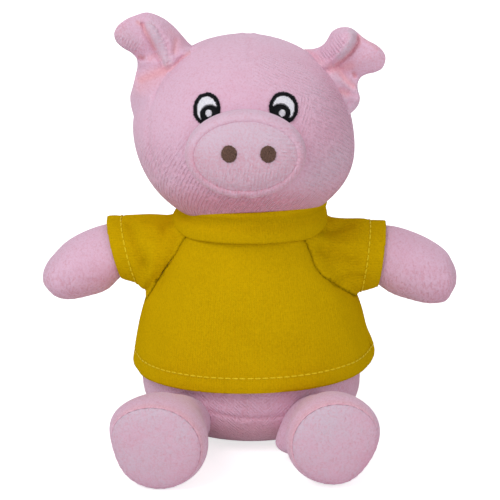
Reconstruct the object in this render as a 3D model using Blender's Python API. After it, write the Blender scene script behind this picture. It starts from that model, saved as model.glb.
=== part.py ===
# Seated plush pig in a short-sleeved jersey shirt, built the way it is sewn: plush covers round their
# fillings, embroidered eyes and nostrils, and a shirt of two panels, two sleeves and a neckband.
# Metres, +Z up. The origin is the middle of the flat face under the torso. The pig looks along -Y,
# so its own left side is at +X.

import math

import bmesh
import bpy
from mathutils import Vector

# Cloth and clearances
plush_wall = 0.0018  # short pile on its backing
jersey_wall = 0.0010
band_wall = 0.0014  # the neckband is folded double
thread_height = 0.0007  # raised satin stitch
seam_gap = 0.0003  # between two pieces that touch
shirt_ease = 0.0004  # between the torso and the shirt
collar_ease = 0.0006  # between the turning head and the neckband
joint_ease = 0.0006  # between a limb's root ball and its seat
layer_ease = 0.0004  # between the two layers of an ear
rest_cut = 0.0005  # how deep the soft underside is pressed flat
overrun = 0.0060  # how far a cutter runs past what it cuts
merge_distance = 0.000001

# Head: a ball, flattened where it sits on the neck
neck_height = 0.0890
neck_opening = 0.0150
head_half_width = 0.0441
head_half_depth = 0.0412
head_above_neck = 0.0350  # from the neck to the ball's middle
head_rise = 0.0414
neck_press = 0.0034  # how far the neck presses the ball flat
head_middle = neck_height + head_above_neck
head_drop = head_above_neck + neck_press
head_centre = Vector((0, 0, head_middle))

# Torso: widest at the belly, drawn in to the neck
torso_half_width = 0.0445
torso_half_depth = 0.0385
belly_height = 0.0260
neck_half_width = 0.0215
seat_fullness = 3.0  # exponent of the outline under the belly
shoulder_rise_power = 2.2
shoulder_fall_power = 1.4

# Snout: an oval band with a domed front panel
snout_half_width = 0.0226
snout_half_height = 0.0175
snout_rise = 0.0047  # above the head's middle
snout_height = head_middle + snout_rise
snout_root = 0.0300  # distances in front of the head's axis
snout_belly = 0.0460
snout_rim = 0.0512
snout_front = 0.0558
snout_rim_share = 0.86
nostril_radius = 0.0031
nostril_spread = 0.0075
nostril_rise = 0.0019
nostril_height = snout_height + nostril_rise

# Eyes, as seen from the front
eye_half_width = 0.0052
eye_half_height = 0.0068
eye_spread = 0.0147
eye_rise = 0.0200
eye_height = head_middle + eye_rise
eye_outline = 0.0013
pupil_radius = 0.0037
pupil_inward = 0.0010
pupil_drop = 0.0021
glint_radius = 0.0012
glint_inward = 0.0006
glint_drop = 0.0014

# Ears: two plush layers each, the tip turned outward and forward
ear_root_offset = Vector((0.0260, 0, 0.0232))  # from the head's middle
ear_bend_offset = Vector((0.0400, -0.0030, 0.0502))
ear_tip_offset = Vector((0.0550, -0.0100, 0.0422))
ear_root = head_centre + ear_root_offset
ear_bend = head_centre + ear_bend_offset
ear_tip = head_centre + ear_tip_offset
ear_half_width = 0.0138
ear_cup = 0.0040
ear_seam_direction = Vector((0.60, -0.58, -0.55)).normalized()
ear_tip_share = 0.93

# Arms: a ball in the shoulder seam, then a bent and rounded sausage
shoulder_inset = 0.0095  # inside the torso's widest outline
shoulder_drop = 0.0110  # under the neck
elbow_offset = Vector((0.0180, 0, 0))  # from the shoulder
hand_offset = Vector((0.0376, 0, -0.0100))
shoulder = Vector((torso_half_width - shoulder_inset, 0, neck_height - shoulder_drop))
elbow = shoulder + elbow_offset
hand = shoulder + hand_offset
shoulder_radius = 0.0090
shoulder_reach = 0.0045  # how far the ball shows before the arm swells
arm_radius = 0.0116
hand_radius = 0.0120
arm_opening = 0.0040

# Legs: a ball in the hip seam, a full foot and a flat sole panel
hip = Vector((0.0230, -0.0372, 0.0142))
instep = Vector((0.0328, -0.0540, 0.0178))
sole = Vector((0.0350, -0.0705, 0.0178))
hip_radius = 0.0125
hip_reach = 0.0025
foot_half_width = 0.0189
foot_half_height = 0.0173
sole_dome = 0.0040

# Tail
tail_radius = 0.0021
tail_curl_radius = 0.0048
tail_pitch = 0.0068
tail_turns = 1.4
tail_height = 0.0200

# Shirt
hem_height = 0.0285
collar_drop = 0.0025  # under the neck
collar_seam = neck_height - collar_drop
hem_flare = 0.0034
collar_spread = 0.0048
band_rise = 0.0078  # above the neck
band_top = neck_height + band_rise
band_tilt_degrees = 4.0
sleeve_root_offset = Vector((-0.0130, 0, -0.0050))  # from the shoulder
sleeve_middle_offset = Vector((0.0030, 0, -0.0025))
sleeve_root = shoulder + sleeve_root_offset
sleeve_middle = shoulder + sleeve_middle_offset
sleeve_root_half_height = 0.0180
sleeve_root_half_depth = 0.0170
sleeve_middle_half_height = 0.0155
sleeve_middle_half_depth = 0.0145

# Facet counts
round_count = 28
leg_count = 18
arm_count = 14
small_count = 14
snout_count = 24
seat_count = 24

upward = Vector((0, 0, 1))
sideways = Vector((1, 0, 0))
forward = Vector((0, -1, 0))

colours = {
    "plush": ((0.72, 0.43, 0.53), 0.95),
    "sole_plush": ((0.62, 0.42, 0.51), 0.95),
    "filling": ((0.85, 0.84, 0.80), 1.0),
    "jersey": ((0.52, 0.33, 0.0015), 0.9),
    "black_thread": ((0.006, 0.006, 0.007), 0.6),
    "white_thread": ((0.80, 0.80, 0.82), 0.6),
    "brown_thread": ((0.12, 0.06, 0.035), 0.7),
}


def clear_scene():
    for old in list(bpy.data.objects):
        bpy.data.objects.remove(old, do_unlink=True)


def make_material(name):
    colour, roughness = colours[name]
    material = bpy.data.materials.new(name)
    material.use_nodes = True
    shader = material.node_tree.nodes["Principled BSDF"]
    shader.inputs["Base Color"].default_value = (*colour, 1)
    shader.inputs["Roughness"].default_value = roughness
    shader.inputs["Metallic"].default_value = 0
    return material


def mirrored(point, side):
    return Vector((point.x * side, point.y, point.z))


def bend_point(start, middle, end, share):
    # A point of the quadratic curve that leaves start towards middle and arrives at end.
    return start * (1 - share) ** 2 + middle * 2 * share * (1 - share) + end * share**2


def bend_direction(start, middle, end, share):
    return ((middle - start) * (1 - share) + (end - middle) * share).normalized()


def oval(centre, across, up, half_across, half_up, count):
    angles = [2 * math.pi * i / count for i in range(count)]
    return [centre + across * half_across * math.cos(a) + up * half_up * math.sin(a) for a in angles]


def coarser(rings):
    # Every second point, for a filling that follows its cover with fewer facets.
    return [ring[::2] for ring in rings]


def finished_mesh(bm, name):
    bmesh.ops.remove_doubles(bm, verts=bm.verts, dist=merge_distance)
    bmesh.ops.recalc_face_normals(bm, faces=bm.faces)
    if bm.calc_volume(signed=True) < 0:
        bmesh.ops.reverse_faces(bm, faces=bm.faces)
    mesh = bpy.data.meshes.new(name)
    bm.to_mesh(mesh)
    bm.free()
    mesh.shade_smooth()
    mesh.set_sharp_from_angle(angle=math.radians(50))
    return mesh


def lofted(name, rings):
    # Skins closed rings one after another and closes both ends.
    bm = bmesh.new()
    loops = []
    for ring in rings:
        verts = [bm.verts.new(point) for point in ring]
        loops.append([bm.edges.new(pair) for pair in zip(verts, verts[1:] + verts[:1])])
    for lower, upper in zip(loops, loops[1:]):
        bmesh.ops.bridge_loops(bm, edges=lower + upper)
    bmesh.ops.contextual_create(bm, geom=loops[0])
    bmesh.ops.contextual_create(bm, geom=loops[-1])
    return finished_mesh(bm, name)


def turned(name, profile, closed=False, steps=round_count, depth_ratio=1):
    # Turns (radius, height) points about the Z axis. An open profile ends on the axis.
    bm = bmesh.new()
    verts = [bm.verts.new((radius, 0, height)) for radius, height in profile]
    pairs = list(zip(verts, verts[1:])) + ([(verts[-1], verts[0])] if closed else [])
    edges = [bm.edges.new(pair) for pair in pairs]
    bmesh.ops.spin(
        bm, geom=verts + edges, cent=(0, 0, 0), axis=upward, angle=2 * math.pi, steps=steps, use_merge=True
    )
    bmesh.ops.scale(bm, verts=bm.verts, vec=(1, depth_ratio, 1))
    return finished_mesh(bm, name)


def prism(name, outline, depth_from, depth_to):
    # An (x, z) outline drawn out along -Y between two depths.
    rings = [[Vector((x, -depth, z)) for x, z in outline] for depth in (depth_from, depth_to)]
    return lofted(name, rings)


def box(name, centre, across, along, up, half_sizes):
    rings = []
    for end in (-1, 1):
        middle = centre + along * half_sizes[1] * end
        corners = ((-1, -1), (1, -1), (1, 1), (-1, 1))
        rings.append([middle + across * half_sizes[0] * a + up * half_sizes[2] * b for a, b in corners])
    return lofted(name, rings)


def ball(name, centre, radius):
    bm = bmesh.new()
    bmesh.ops.create_uvsphere(bm, u_segments=seat_count, v_segments=seat_count // 2, radius=radius)
    bmesh.ops.translate(bm, verts=bm.verts, vec=centre)
    return finished_mesh(bm, name)


def link(name, data, parent=None):
    item = bpy.data.objects.new(name, data)
    bpy.context.scene.collection.objects.link(item)
    if parent:
        item.parent = parent
        item.matrix_parent_inverse = parent.matrix_world.inverted()
    return item


def make_pivot(name, place):
    pivot = link(name, None)
    pivot.location = place
    bpy.context.view_layer.update()
    return pivot


def make_piece(name, mesh, material, parent=None):
    mesh.materials.append(materials[material])
    return link(name, mesh, parent)


def make_cutter(name, mesh):
    cutter = link(name, mesh)
    cutter.hide_render = True
    cutter.display_type = "WIRE"
    return cutter


def cut(piece, *cutters, operation="DIFFERENCE"):
    for cutter in cutters:
        modifier = piece.modifiers.new("cut", "BOOLEAN")
        modifier.operation = operation
        modifier.solver = "EXACT"
        modifier.object = cutter


# Forms. Each takes how much it is grown (or shrunk, below zero), so that a cover's inside,
# its filling and its neighbours' seats all follow the same outline.


def head_radius(height, grow):
    reach = (head_rise if height > head_middle else head_drop) + grow
    share = min(abs(height - head_middle) / reach, 1)
    return (head_half_width + grow) * math.sqrt(1 - share**2)


def head_form(name, grow, coarse=False):
    bottom = neck_height - grow
    bottom_angle = math.asin((head_middle - bottom) / (head_drop + grow))
    profile = [(0, bottom)]
    steps = round_count // 2 - 2
    for i in range(steps):
        angle = -bottom_angle + (bottom_angle + math.pi / 2) * i / steps
        reach = (head_rise if angle > 0 else head_drop) + grow
        height = head_middle + reach * math.sin(angle)
        profile.append((head_radius(height, grow), height))
    profile.append((0, head_middle + head_rise + grow))
    depth_ratio = (head_half_depth + grow) / (head_half_width + grow)
    if coarse:
        profile = profile[:2] + profile[3:-1:2] + profile[-1:]
        return turned(name, profile, steps=round_count // 2, depth_ratio=depth_ratio)
    return turned(name, profile, depth_ratio=depth_ratio)


def torso_top():
    return neck_height - seam_gap


def torso_radius(height, grow):
    if height < belly_height:
        share = min((belly_height - height) / (belly_height + rest_cut + grow), 1)
        return (torso_half_width + grow) * (1 - share**seat_fullness) ** (1 / seat_fullness)
    share = min((height - belly_height) / (torso_top() - belly_height + grow), 1)
    swell = (1 - share**shoulder_rise_power) ** (1 / shoulder_fall_power)
    return neck_half_width + grow + (torso_half_width - neck_half_width) * swell


def depth_share(height):
    # The belly is shallower than it is wide, and the neck is round.
    share = max(0, height - belly_height) / (torso_top() - belly_height)
    flat_share = torso_half_depth / torso_half_width
    return flat_share + (1 - flat_share) * min(share, 1) ** 2


def torso_form(name, grow, coarse=False):
    low_shares = (0.012, 0.06, 0.18, 0.40, 0.70)
    high_shares = (0, 0.22, 0.42, 0.60, 0.75, 0.87, 0.95, 1)
    bottom = -rest_cut - grow
    top = torso_top() + grow
    heights = [bottom + (belly_height - bottom) * share for share in low_shares]
    heights += [belly_height + (top - belly_height) * share for share in high_shares]
    rings = []
    for height in heights:
        radius = torso_radius(height, grow)
        centre = Vector((0, 0, height))
        rings.append(oval(centre, sideways, forward, radius, radius * depth_share(height), round_count))
    return lofted(name, coarser(rings) if coarse else rings)


def snout_form(name, grow, coarse=False):
    # Distance in front of the head's axis, and the share of the oval's half sizes there.
    dome = snout_front - snout_rim
    stations = (
        (snout_root, 0.88),
        ((snout_root + snout_belly) / 2, 0.95),
        (snout_belly, 1.0),
        ((snout_belly + snout_rim) / 2, 0.955),
        (snout_rim, snout_rim_share),
        (snout_rim + dome * 0.55, 0.64),
        (snout_rim + dome * 0.88, 0.36),
        (snout_front, 0.10),
    )
    rings = []
    for distance, share in stations:
        ahead = grow * max(0, (distance - snout_belly) / (snout_front - snout_belly))
        centre = Vector((0, -distance - ahead, snout_height))
        half_width = snout_half_width * share + grow
        half_height = snout_half_height * share + grow
        if half_width <= 0 or half_height <= 0:
            continue
        rings.append(oval(centre, sideways, upward, half_width, half_height, snout_count))
    return lofted(name, coarser(rings) if coarse else rings)


def limb_rings(curve, side, stations, count):
    # stations: (share along the curve, distance past that point, half across, half up)
    start, middle, end = (mirrored(point, side) for point in curve)
    rings = []
    for share, past, half_across, half_up in stations:
        direction = bend_direction(start, middle, end, share)
        across = direction.cross(upward).normalized()
        up = across.cross(direction).normalized()
        centre = bend_point(start, middle, end, share) + direction * past
        rings.append(oval(centre, across, up, half_across, half_up, count))
    return rings


def ball_stations(radius, reach):
    # The part of a limb's root ball from its far pole to the given reach beyond its centre.
    last = math.acos(-reach / radius)
    first = math.radians(22)
    angles = [first + (last - first) * i / 3 for i in range(4)]
    return [(0, -radius * math.cos(angle), radius * math.sin(angle)) for angle in angles]


def arm_form(name, side, grow, coarse=False):
    swell_shares = ((0.22, 0.86), (0.34, 0.95), (0.50, 1.0), (0.75, 1.01))
    stations = [(s, past, r, r) for s, past, r in ball_stations(shoulder_radius + grow, shoulder_reach)]
    for share, radius_share in swell_shares:
        radius = arm_radius * radius_share + grow
        stations.append((share, 0, radius, radius))
    tip_radius = hand_radius + grow
    for degrees in (0, 30, 56, 78):
        angle = math.radians(degrees)
        radius = tip_radius * math.cos(angle)
        stations.append((1, tip_radius * math.sin(angle), radius, radius))
    rings = limb_rings((shoulder, elbow, hand), side, stations, arm_count)
    return lofted(name, coarser(rings) if coarse else rings)


def leg_form(name, side, grow, coarse=False):
    # Share along the leg, share of the foot's half width, share of the way to its half height.
    swell_shares = ((0.20, 0.75, 0.5), (0.38, 0.92, 1.0), (0.58, 1.0, 1.0), (0.80, 0.965, 1.0), (1, 0.86, 1.0))
    dome_shares = ((0.55, 0.63), (0.88, 0.36), (1, 0.12))
    flat_share = foot_half_height / foot_half_width
    stations = [(s, past, r, r) for s, past, r in ball_stations(hip_radius + grow, hip_reach)]
    for share, radius_share, flat in swell_shares:
        radius = foot_half_width * radius_share
        stations.append((share, 0, radius + grow, radius * (1 + (flat_share - 1) * flat) + grow))
    for share, radius_share in dome_shares:
        radius = foot_half_width * radius_share
        past = (sole_dome + grow) * share
        stations.append((1, past, max(radius + grow, 0), max(radius * flat_share + grow, 0)))
    stations = [station for station in stations if station[3] > 0]
    rings = limb_rings((hip, instep, sole), side, stations, leg_count)
    return lofted(name, coarser(rings) if coarse else rings)


def shirt_form(name, grow, past_ends):
    count = 9
    rings = []
    for i in range(count + 1):
        share = i / count
        height = hem_height + (collar_seam - hem_height) * share
        radius = torso_radius(height, 0)
        ease = shirt_ease + jersey_wall + hem_flare * (1 - share) ** 2 + collar_spread * share**4 + grow
        half_depth = radius * depth_share(height) + ease
        places = [height]
        if past_ends and i == 0:
            places = [height - past_ends, height]
        if past_ends and i == count:
            places = [height, height + past_ends]
        for place in places:
            centre = Vector((0, 0, place))
            rings.append(oval(centre, sideways, forward, radius + ease, half_depth, round_count))
    return lofted(name, rings)


def band_radius(height, grow):
    # The neckband stands on the shirt's neck and leans against the head's underside.
    straight = torso_radius(collar_seam, 0) + shirt_ease + jersey_wall + collar_spread
    return max(straight, head_radius(height, 0) + collar_ease + band_wall) + grow


def band_profile(grow, inner):
    bottom = collar_seam + seam_gap - grow
    top = band_top + band_radius(band_top, 0) * math.tan(math.radians(band_tilt_degrees)) + grow
    heights = [bottom + (top - bottom) * i / 4 for i in range(5)]
    outer = [(band_radius(height, grow), height) for height in heights]
    if not inner:
        return [(0, bottom)] + outer + [(0, top)]
    return outer + [(radius - band_wall, height) for radius, height in reversed(outer)]


def sleeve_form(name, side, grow, past_ends):
    direction = bend_direction(shoulder, elbow, hand, 0.5)
    hem = bend_point(shoulder, elbow, hand, 0.5)
    hem_radius = arm_radius + seam_gap + jersey_wall
    stations = [
        (sleeve_root, sideways, sleeve_root_half_depth, sleeve_root_half_height),
        (sleeve_middle, sideways, sleeve_middle_half_depth, sleeve_middle_half_height),
        ((sleeve_middle + hem) / 2, (sideways + direction) / 2, None, None),
        (hem, direction, hem_radius, hem_radius),
    ]
    if past_ends:
        before = (sleeve_root - sideways * past_ends, *stations[0][1:])
        after = (hem + direction * past_ends, direction, hem_radius, hem_radius)
        stations = [before, *stations, after]
    rings = []
    for centre, axis, half_depth, half_height in stations:
        if half_depth is None:
            half_depth = (sleeve_middle_half_depth + hem_radius) / 2 - shirt_ease
            half_height = (sleeve_middle_half_height + hem_radius) / 2 - shirt_ease
        axis = mirrored(axis.normalized(), side)
        across = axis.cross(upward).normalized()
        up = across.cross(axis).normalized()
        place = mirrored(centre, side)
        rings.append(oval(place, across, up, half_depth + grow, half_height + grow, leg_count))
    return lofted(name, rings)


def ear_spot(side, along, edge, lift):
    # A spot on the ear: along its bent spine, towards either edge, lifted off its middle surface.
    spine = bend_point(ear_root, ear_bend, ear_tip, along)
    direction = bend_direction(ear_root, ear_bend, ear_tip, along)
    across = (ear_seam_direction - direction * ear_seam_direction.dot(direction)).normalized()
    face = across.cross(direction)
    half_width = ear_half_width * math.sqrt(1 - (ear_tip_share * along) ** 3)
    spot = spine + across * half_width * edge + face * (ear_cup * (1 - along**2) * edge**2 + lift)
    return mirrored(spot, side)


def ear_layer(name, side, near, far):
    edges = [-1 + i / 3 for i in range(7)]
    rings = []
    for i in range(9):
        along = i / 8
        front = [ear_spot(side, along, edge, near) for edge in edges]
        back = [ear_spot(side, along, edge, far) for edge in reversed(edges)]
        rings.append(front + back)
    return lofted(name, rings)


# Sub-parts


def build_head():
    pivot = make_pivot("neck_pivot", Vector((0, 0, neck_height)))
    inside = make_cutter("head_inside", head_form("head_inside", -plush_wall))
    # The hole's facets are turned half a step, so that no corner meets one of the neck's.
    across = Vector((math.cos(math.pi / round_count), math.sin(math.pi / round_count), 0))
    along = upward.cross(across)
    places = [Vector((0, 0, neck_height + end * overrun)) for end in (-1, 1)]
    rings = [oval(place, across, along, neck_opening, neck_opening, round_count) for place in places]
    neck_hole = make_cutter("neck_hole", lofted("neck_hole", rings))
    cover = make_piece("head_cover", head_form("head_cover", 0), "plush", pivot)
    cut(cover, inside, neck_hole)
    filling = head_form("head_filling", -plush_wall - seam_gap, coarse=True)
    make_piece("head_filling", filling, "filling", pivot)
    return pivot, neck_hole


def build_snout(pivot, head_seat):
    inside = make_cutter("snout_inside", snout_form("snout_inside", -plush_wall))
    reach = snout_half_width + overrun
    for name, sign in (("snout_band", 1), ("snout_panel", -1)):
        # The box takes away what lies past the rim seam, on the side that this piece isn't on.
        middle = Vector((0, -snout_rim + sign * (seam_gap / 2 - reach), snout_height))
        past_rim = box(name + "_end", middle, sideways, forward, upward, (reach, reach, reach))
        piece = make_piece(name, snout_form(name, 0), "plush", pivot)
        cut(piece, inside, make_cutter(name + "_end", past_rim), head_seat)
    filling = snout_form("snout_filling", -plush_wall - seam_gap, coarse=True)
    cut(make_piece("snout_filling", filling, "filling", pivot), head_seat)


def build_nostrils(pivot):
    seat = make_cutter("snout_seat", snout_form("snout_seat", seam_gap))
    skin = make_cutter("snout_skin", snout_form("snout_skin", seam_gap + thread_height))
    for name, side in (("nostril_left", 1), ("nostril_right", -1)):
        centre = Vector((nostril_spread * side, 0, nostril_height))
        ring = oval(centre, sideways, upward, nostril_radius, nostril_radius, small_count)
        outline = [(point.x, point.z) for point in ring]
        mesh = prism(name, outline, snout_belly, snout_front + overrun)
        nostril = make_piece(name, mesh, "brown_thread", pivot)
        cut(nostril, skin, operation="INTERSECT")
        cut(nostril, seat)


def eye_prism(name, centre, half_width, half_height, count=24):
    ring = oval(centre, sideways, upward, half_width, half_height, count)
    return prism(name, [(point.x, point.z) for point in ring], 0, head_half_width + overrun)


def build_eyes(pivot, head_seat):
    skin = make_cutter("head_skin", head_form("head_skin", seam_gap + thread_height))
    snout_edge = make_cutter("snout_edge", snout_form("snout_edge", seam_gap))
    for label, side in (("left", 1), ("right", -1)):
        eye = Vector((eye_spread * side, 0, eye_height))
        pupil = eye + Vector((-pupil_inward * side, 0, -pupil_drop))
        glint = eye + Vector((-glint_inward * side, 0, -glint_drop))
        field_width = eye_half_width - eye_outline
        field_height = eye_half_height - eye_outline
        # The white field is a crescent: an oval without the pupil.
        pupil_mesh = eye_prism(f"pupil_{label}", pupil, pupil_radius, pupil_radius)
        pupil_cutter = make_cutter(f"pupil_{label}", pupil_mesh)
        field = make_cutter(f"field_{label}", eye_prism(f"field_{label}", eye, field_width, field_height))
        cut(field, pupil_cutter)
        seat_radius = pupil_radius + seam_gap
        pupil_seat = make_cutter(f"seat_{label}", eye_prism(f"seat_{label}", pupil, seat_radius, seat_radius))
        hole_radius = glint_radius + seam_gap
        hole = eye_prism(f"glint_hole_{label}", glint, hole_radius, hole_radius, small_count)
        glint_hole = make_cutter(f"glint_hole_{label}", hole)
        white = eye_prism(f"white_{label}", eye, field_width - seam_gap, field_height - seam_gap)
        black = eye_prism(f"black_{label}", eye, eye_half_width, eye_half_height)
        spot = eye_prism(f"glint_{label}", glint, glint_radius, glint_radius, small_count)
        fields = (
            (f"eye_{label}_black", black, "black_thread", (field, glint_hole)),
            (f"eye_{label}_white", white, "white_thread", (pupil_seat,)),
            (f"eye_{label}_glint", spot, "white_thread", ()),
        )
        for name, mesh, material, openings in fields:
            piece = make_piece(name, mesh, material, pivot)
            cut(piece, skin, operation="INTERSECT")
            cut(piece, head_seat, snout_edge, *openings)


def build_ears(pivot, head_seat):
    for label, side in (("left", 1), ("right", -1)):
        layers = (("front", layer_ease / 2, plush_wall), ("back", -layer_ease / 2, -plush_wall))
        for layer, near, wall in layers:
            name = f"ear_{label}_{layer}"
            piece = make_piece(name, ear_layer(name, side, near, near + wall), "plush", pivot)
            piece.modifiers.new("facets", "TRIANGULATE")
            cut(piece, head_seat)


def build_torso(neck_hole, floor):
    seats = []
    for label, side in (("left", 1), ("right", -1)):
        arm_seat = ball(f"arm_seat_{label}", mirrored(shoulder, side), shoulder_radius + joint_ease)
        leg_seat = ball(f"leg_seat_{label}", mirrored(hip, side), hip_radius + joint_ease)
        seats.append(make_cutter(f"arm_seat_{label}", arm_seat))
        seats.append(make_cutter(f"leg_seat_{label}", leg_seat))
    inside = make_cutter("torso_inside", torso_form("torso_inside", -plush_wall))
    cover = make_piece("torso_cover", torso_form("torso_cover", 0), "plush")
    cut(cover, inside, neck_hole, floor, *seats)
    filling = torso_form("torso_filling", -plush_wall - seam_gap, coarse=True)
    cut(make_piece("torso_filling", filling, "filling"), *seats)


def build_arms():
    for label, side in (("left", 1), ("right", -1)):
        centre = mirrored(shoulder, side)
        pivot = make_pivot(f"shoulder_pivot_{label}", centre)
        inward = -bend_direction(centre, mirrored(elbow, side), mirrored(hand, side), 0)
        across = inward.cross(upward).normalized()
        up = across.cross(inward).normalized()
        places = (centre, centre + inward * (shoulder_radius + overrun))
        rings = [oval(place, across, up, arm_opening, arm_opening, small_count) for place in places]
        opening = make_cutter(f"arm_opening_{label}", lofted(f"arm_opening_{label}", rings))
        inside_mesh = arm_form(f"arm_inside_{label}", side, -plush_wall)
        inside = make_cutter(f"arm_inside_{label}", inside_mesh)
        name = f"arm_{label}_cover"
        cut(make_piece(name, arm_form(name, side, 0), "plush", pivot), inside, opening)
        name = f"arm_{label}_filling"
        make_piece(name, arm_form(name, side, -plush_wall - seam_gap, coarse=True), "filling", pivot)


def build_legs(floor):
    for label, side in (("left", 1), ("right", -1)):
        curve = [mirrored(point, side) for point in (hip, instep, sole)]
        pivot = make_pivot(f"hip_pivot_{label}", curve[0])
        direction = bend_direction(*curve, 1)
        across = direction.cross(upward).normalized()
        up = across.cross(direction).normalized()
        reach = foot_half_width + overrun
        inside = make_cutter(f"leg_inside_{label}", leg_form(f"leg_inside_{label}", side, -plush_wall))
        for name, sign in ((f"leg_{label}_cover", 1), (f"foot_{label}_sole", -1)):
            # The box takes away what lies past the sole's seam, on the side that this piece isn't on.
            depth = reach if sign > 0 else (sole - hip).length + hip_radius + overrun
            middle = curve[2] + direction * sign * (depth - seam_gap / 2)
            end = box(name + "_end", middle, across, direction, up, (reach * 2, depth, reach * 2))
            material = "plush" if sign > 0 else "sole_plush"
            piece = make_piece(name, leg_form(name, side, 0), material, pivot)
            cut(piece, inside, make_cutter(name + "_end", end), floor)
        name = f"leg_{label}_filling"
        make_piece(name, leg_form(name, side, -plush_wall - seam_gap, coarse=True), "filling", pivot)


def build_tail():
    curve = bpy.data.curves.new("tail", "CURVE")
    curve.dimensions = "3D"
    curve.bevel_depth = tail_radius
    curve.bevel_resolution = 1
    curve.use_fill_caps = True
    root = torso_radius(tail_height, 0) * depth_share(tail_height) + seam_gap
    count = 15
    points = [Vector((0, root, tail_height))]
    for i in range(count):
        share = i / (count - 1)
        angle = 2 * math.pi * tail_turns * share
        curl = tail_curl_radius * math.sin(min(share * 2, 1) * math.pi / 2)
        out = root + tail_radius + tail_pitch * tail_turns * share
        points.append(Vector((curl * math.sin(angle), out, tail_height - curl * math.cos(angle))))
    spline = curve.splines.new("POLY")
    spline.points.add(len(points) - 1)
    for spot, point in zip(spline.points, points):
        spot.co = (*point, 1)
    gaps = [(a - b).length for i, a in enumerate(points) for b in points[i + count // 2:]]
    print(f"Least gap of the tail to itself: {min(gaps) - 2 * tail_radius:.5f} m")
    make_piece("tail", curve, "plush")


def build_shirt():
    sleeve_seats = []
    for label, side in (("left", 1), ("right", -1)):
        mesh = sleeve_form(f"sleeve_seat_{label}", side, seam_gap, overrun)
        sleeve_seats.append(make_cutter(f"sleeve_seat_{label}", mesh))
    inside = make_cutter("shirt_inside", shirt_form("shirt_inside", -jersey_wall, overrun))
    reach = torso_half_width + hem_flare + overrun
    for name, sign in (("shirt_front", 1), ("shirt_back", -1)):
        # The side seams lie in the plane through the arms.
        middle = Vector((0, sign * (reach - seam_gap / 2), (hem_height + collar_seam) / 2))
        half = box(name + "_half", middle, sideways, forward, upward, (reach, reach, collar_seam))
        piece = make_piece(name, shirt_form(name, 0, 0), "jersey")
        cut(piece, inside, make_cutter(name + "_half", half), *sleeve_seats)


def build_sleeves():
    body_seat = make_cutter("body_seat", shirt_form("body_seat", seam_gap, seam_gap))
    band_seat = make_cutter("band_seat", turned("band_seat", band_profile(seam_gap, False)))
    for label, side in (("left", 1), ("right", -1)):
        inside_mesh = sleeve_form(f"sleeve_inside_{label}", side, -jersey_wall, overrun)
        inside = make_cutter(f"sleeve_inside_{label}", inside_mesh)
        name = f"sleeve_{label}"
        cut(make_piece(name, sleeve_form(name, side, 0, 0), "jersey"), inside, body_seat, band_seat)


def build_neckband():
    # The band's top is higher in front, under the chin.
    slope = math.radians(band_tilt_degrees)
    reach = head_half_width + overrun
    along = Vector((0, -math.cos(slope), math.sin(slope)))
    up = Vector((0, math.sin(slope), math.cos(slope)))
    centre = Vector((0, 0, band_top)) + up * reach
    above = box("band_above", centre, sideways, along, up, (reach * 2, reach * 2, reach))
    band = make_piece("neckband", turned("neckband", band_profile(0, True), closed=True), "jersey")
    cut(band, make_cutter("band_above", above))


clear_scene()
materials = {name: make_material(name) for name in colours}
floor_reach = torso_half_width + foot_half_width + overrun
floor_centre = Vector((0, 0, -floor_reach))
floor_mesh = box("floor", floor_centre, sideways, forward, upward, (floor_reach * 2, floor_reach * 2, floor_reach))
floor_cutter = make_cutter("floor", floor_mesh)
head_seat_cutter = make_cutter("head_seat", head_form("head_seat", seam_gap))
neck_pivot, neck_cutter = build_head()
build_snout(neck_pivot, head_seat_cutter)
build_nostrils(neck_pivot)
build_eyes(neck_pivot, head_seat_cutter)
build_ears(neck_pivot, head_seat_cutter)
build_torso(neck_cutter, floor_cutter)
build_arms()
build_legs(floor_cutter)
build_tail()
build_shirt()
build_sleeves()
build_neckband()
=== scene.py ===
import math

import bpy
import numpy as np
from mathutils import Matrix, Vector
from mathutils.bvhtree import BVHTree


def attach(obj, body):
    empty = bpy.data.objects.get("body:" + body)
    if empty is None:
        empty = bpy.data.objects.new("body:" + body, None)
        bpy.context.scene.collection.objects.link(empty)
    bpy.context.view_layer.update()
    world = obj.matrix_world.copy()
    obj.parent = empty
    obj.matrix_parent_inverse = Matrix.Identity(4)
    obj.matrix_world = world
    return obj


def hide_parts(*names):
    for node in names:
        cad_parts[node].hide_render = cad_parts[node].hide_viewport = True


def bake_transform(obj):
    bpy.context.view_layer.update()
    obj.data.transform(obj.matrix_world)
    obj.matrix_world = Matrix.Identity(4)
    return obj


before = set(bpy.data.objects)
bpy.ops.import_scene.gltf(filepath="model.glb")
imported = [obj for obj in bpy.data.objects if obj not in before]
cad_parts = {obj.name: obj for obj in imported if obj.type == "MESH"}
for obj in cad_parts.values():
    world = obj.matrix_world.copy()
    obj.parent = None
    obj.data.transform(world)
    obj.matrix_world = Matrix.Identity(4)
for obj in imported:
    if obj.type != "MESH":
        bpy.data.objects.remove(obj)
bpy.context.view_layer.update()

scene = bpy.context.scene
scene.view_settings.view_transform = "Standard"

# Camera, as the photograph was taken: straight ahead and a little above
shot = {
    "target": (0.0008, 0, 0.0762),
    "distance": 0.90,
    "elevation": 16.5,
    "frameWidth": 0.205,
    "pixels": 500,
    "sensor": 36,
}


def addCamera():
    bpy.ops.object.camera_add()
    camera = bpy.context.object
    camera.name = "camera"
    camera.data.sensor_width = shot["sensor"]
    camera.data.lens = shot["sensor"] * shot["distance"] / shot["frameWidth"]
    camera.data.clip_end = 20
    tilt = math.radians(shot["elevation"])
    back = Vector((0, -math.cos(tilt), math.sin(tilt)))
    camera.location = Vector(shot["target"]) + back * shot["distance"]
    camera.rotation_euler = (-back).to_track_quat("-Z", "Y").to_euler()
    scene.camera = camera
    bpy.context.view_layer.update()
    return camera


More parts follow.
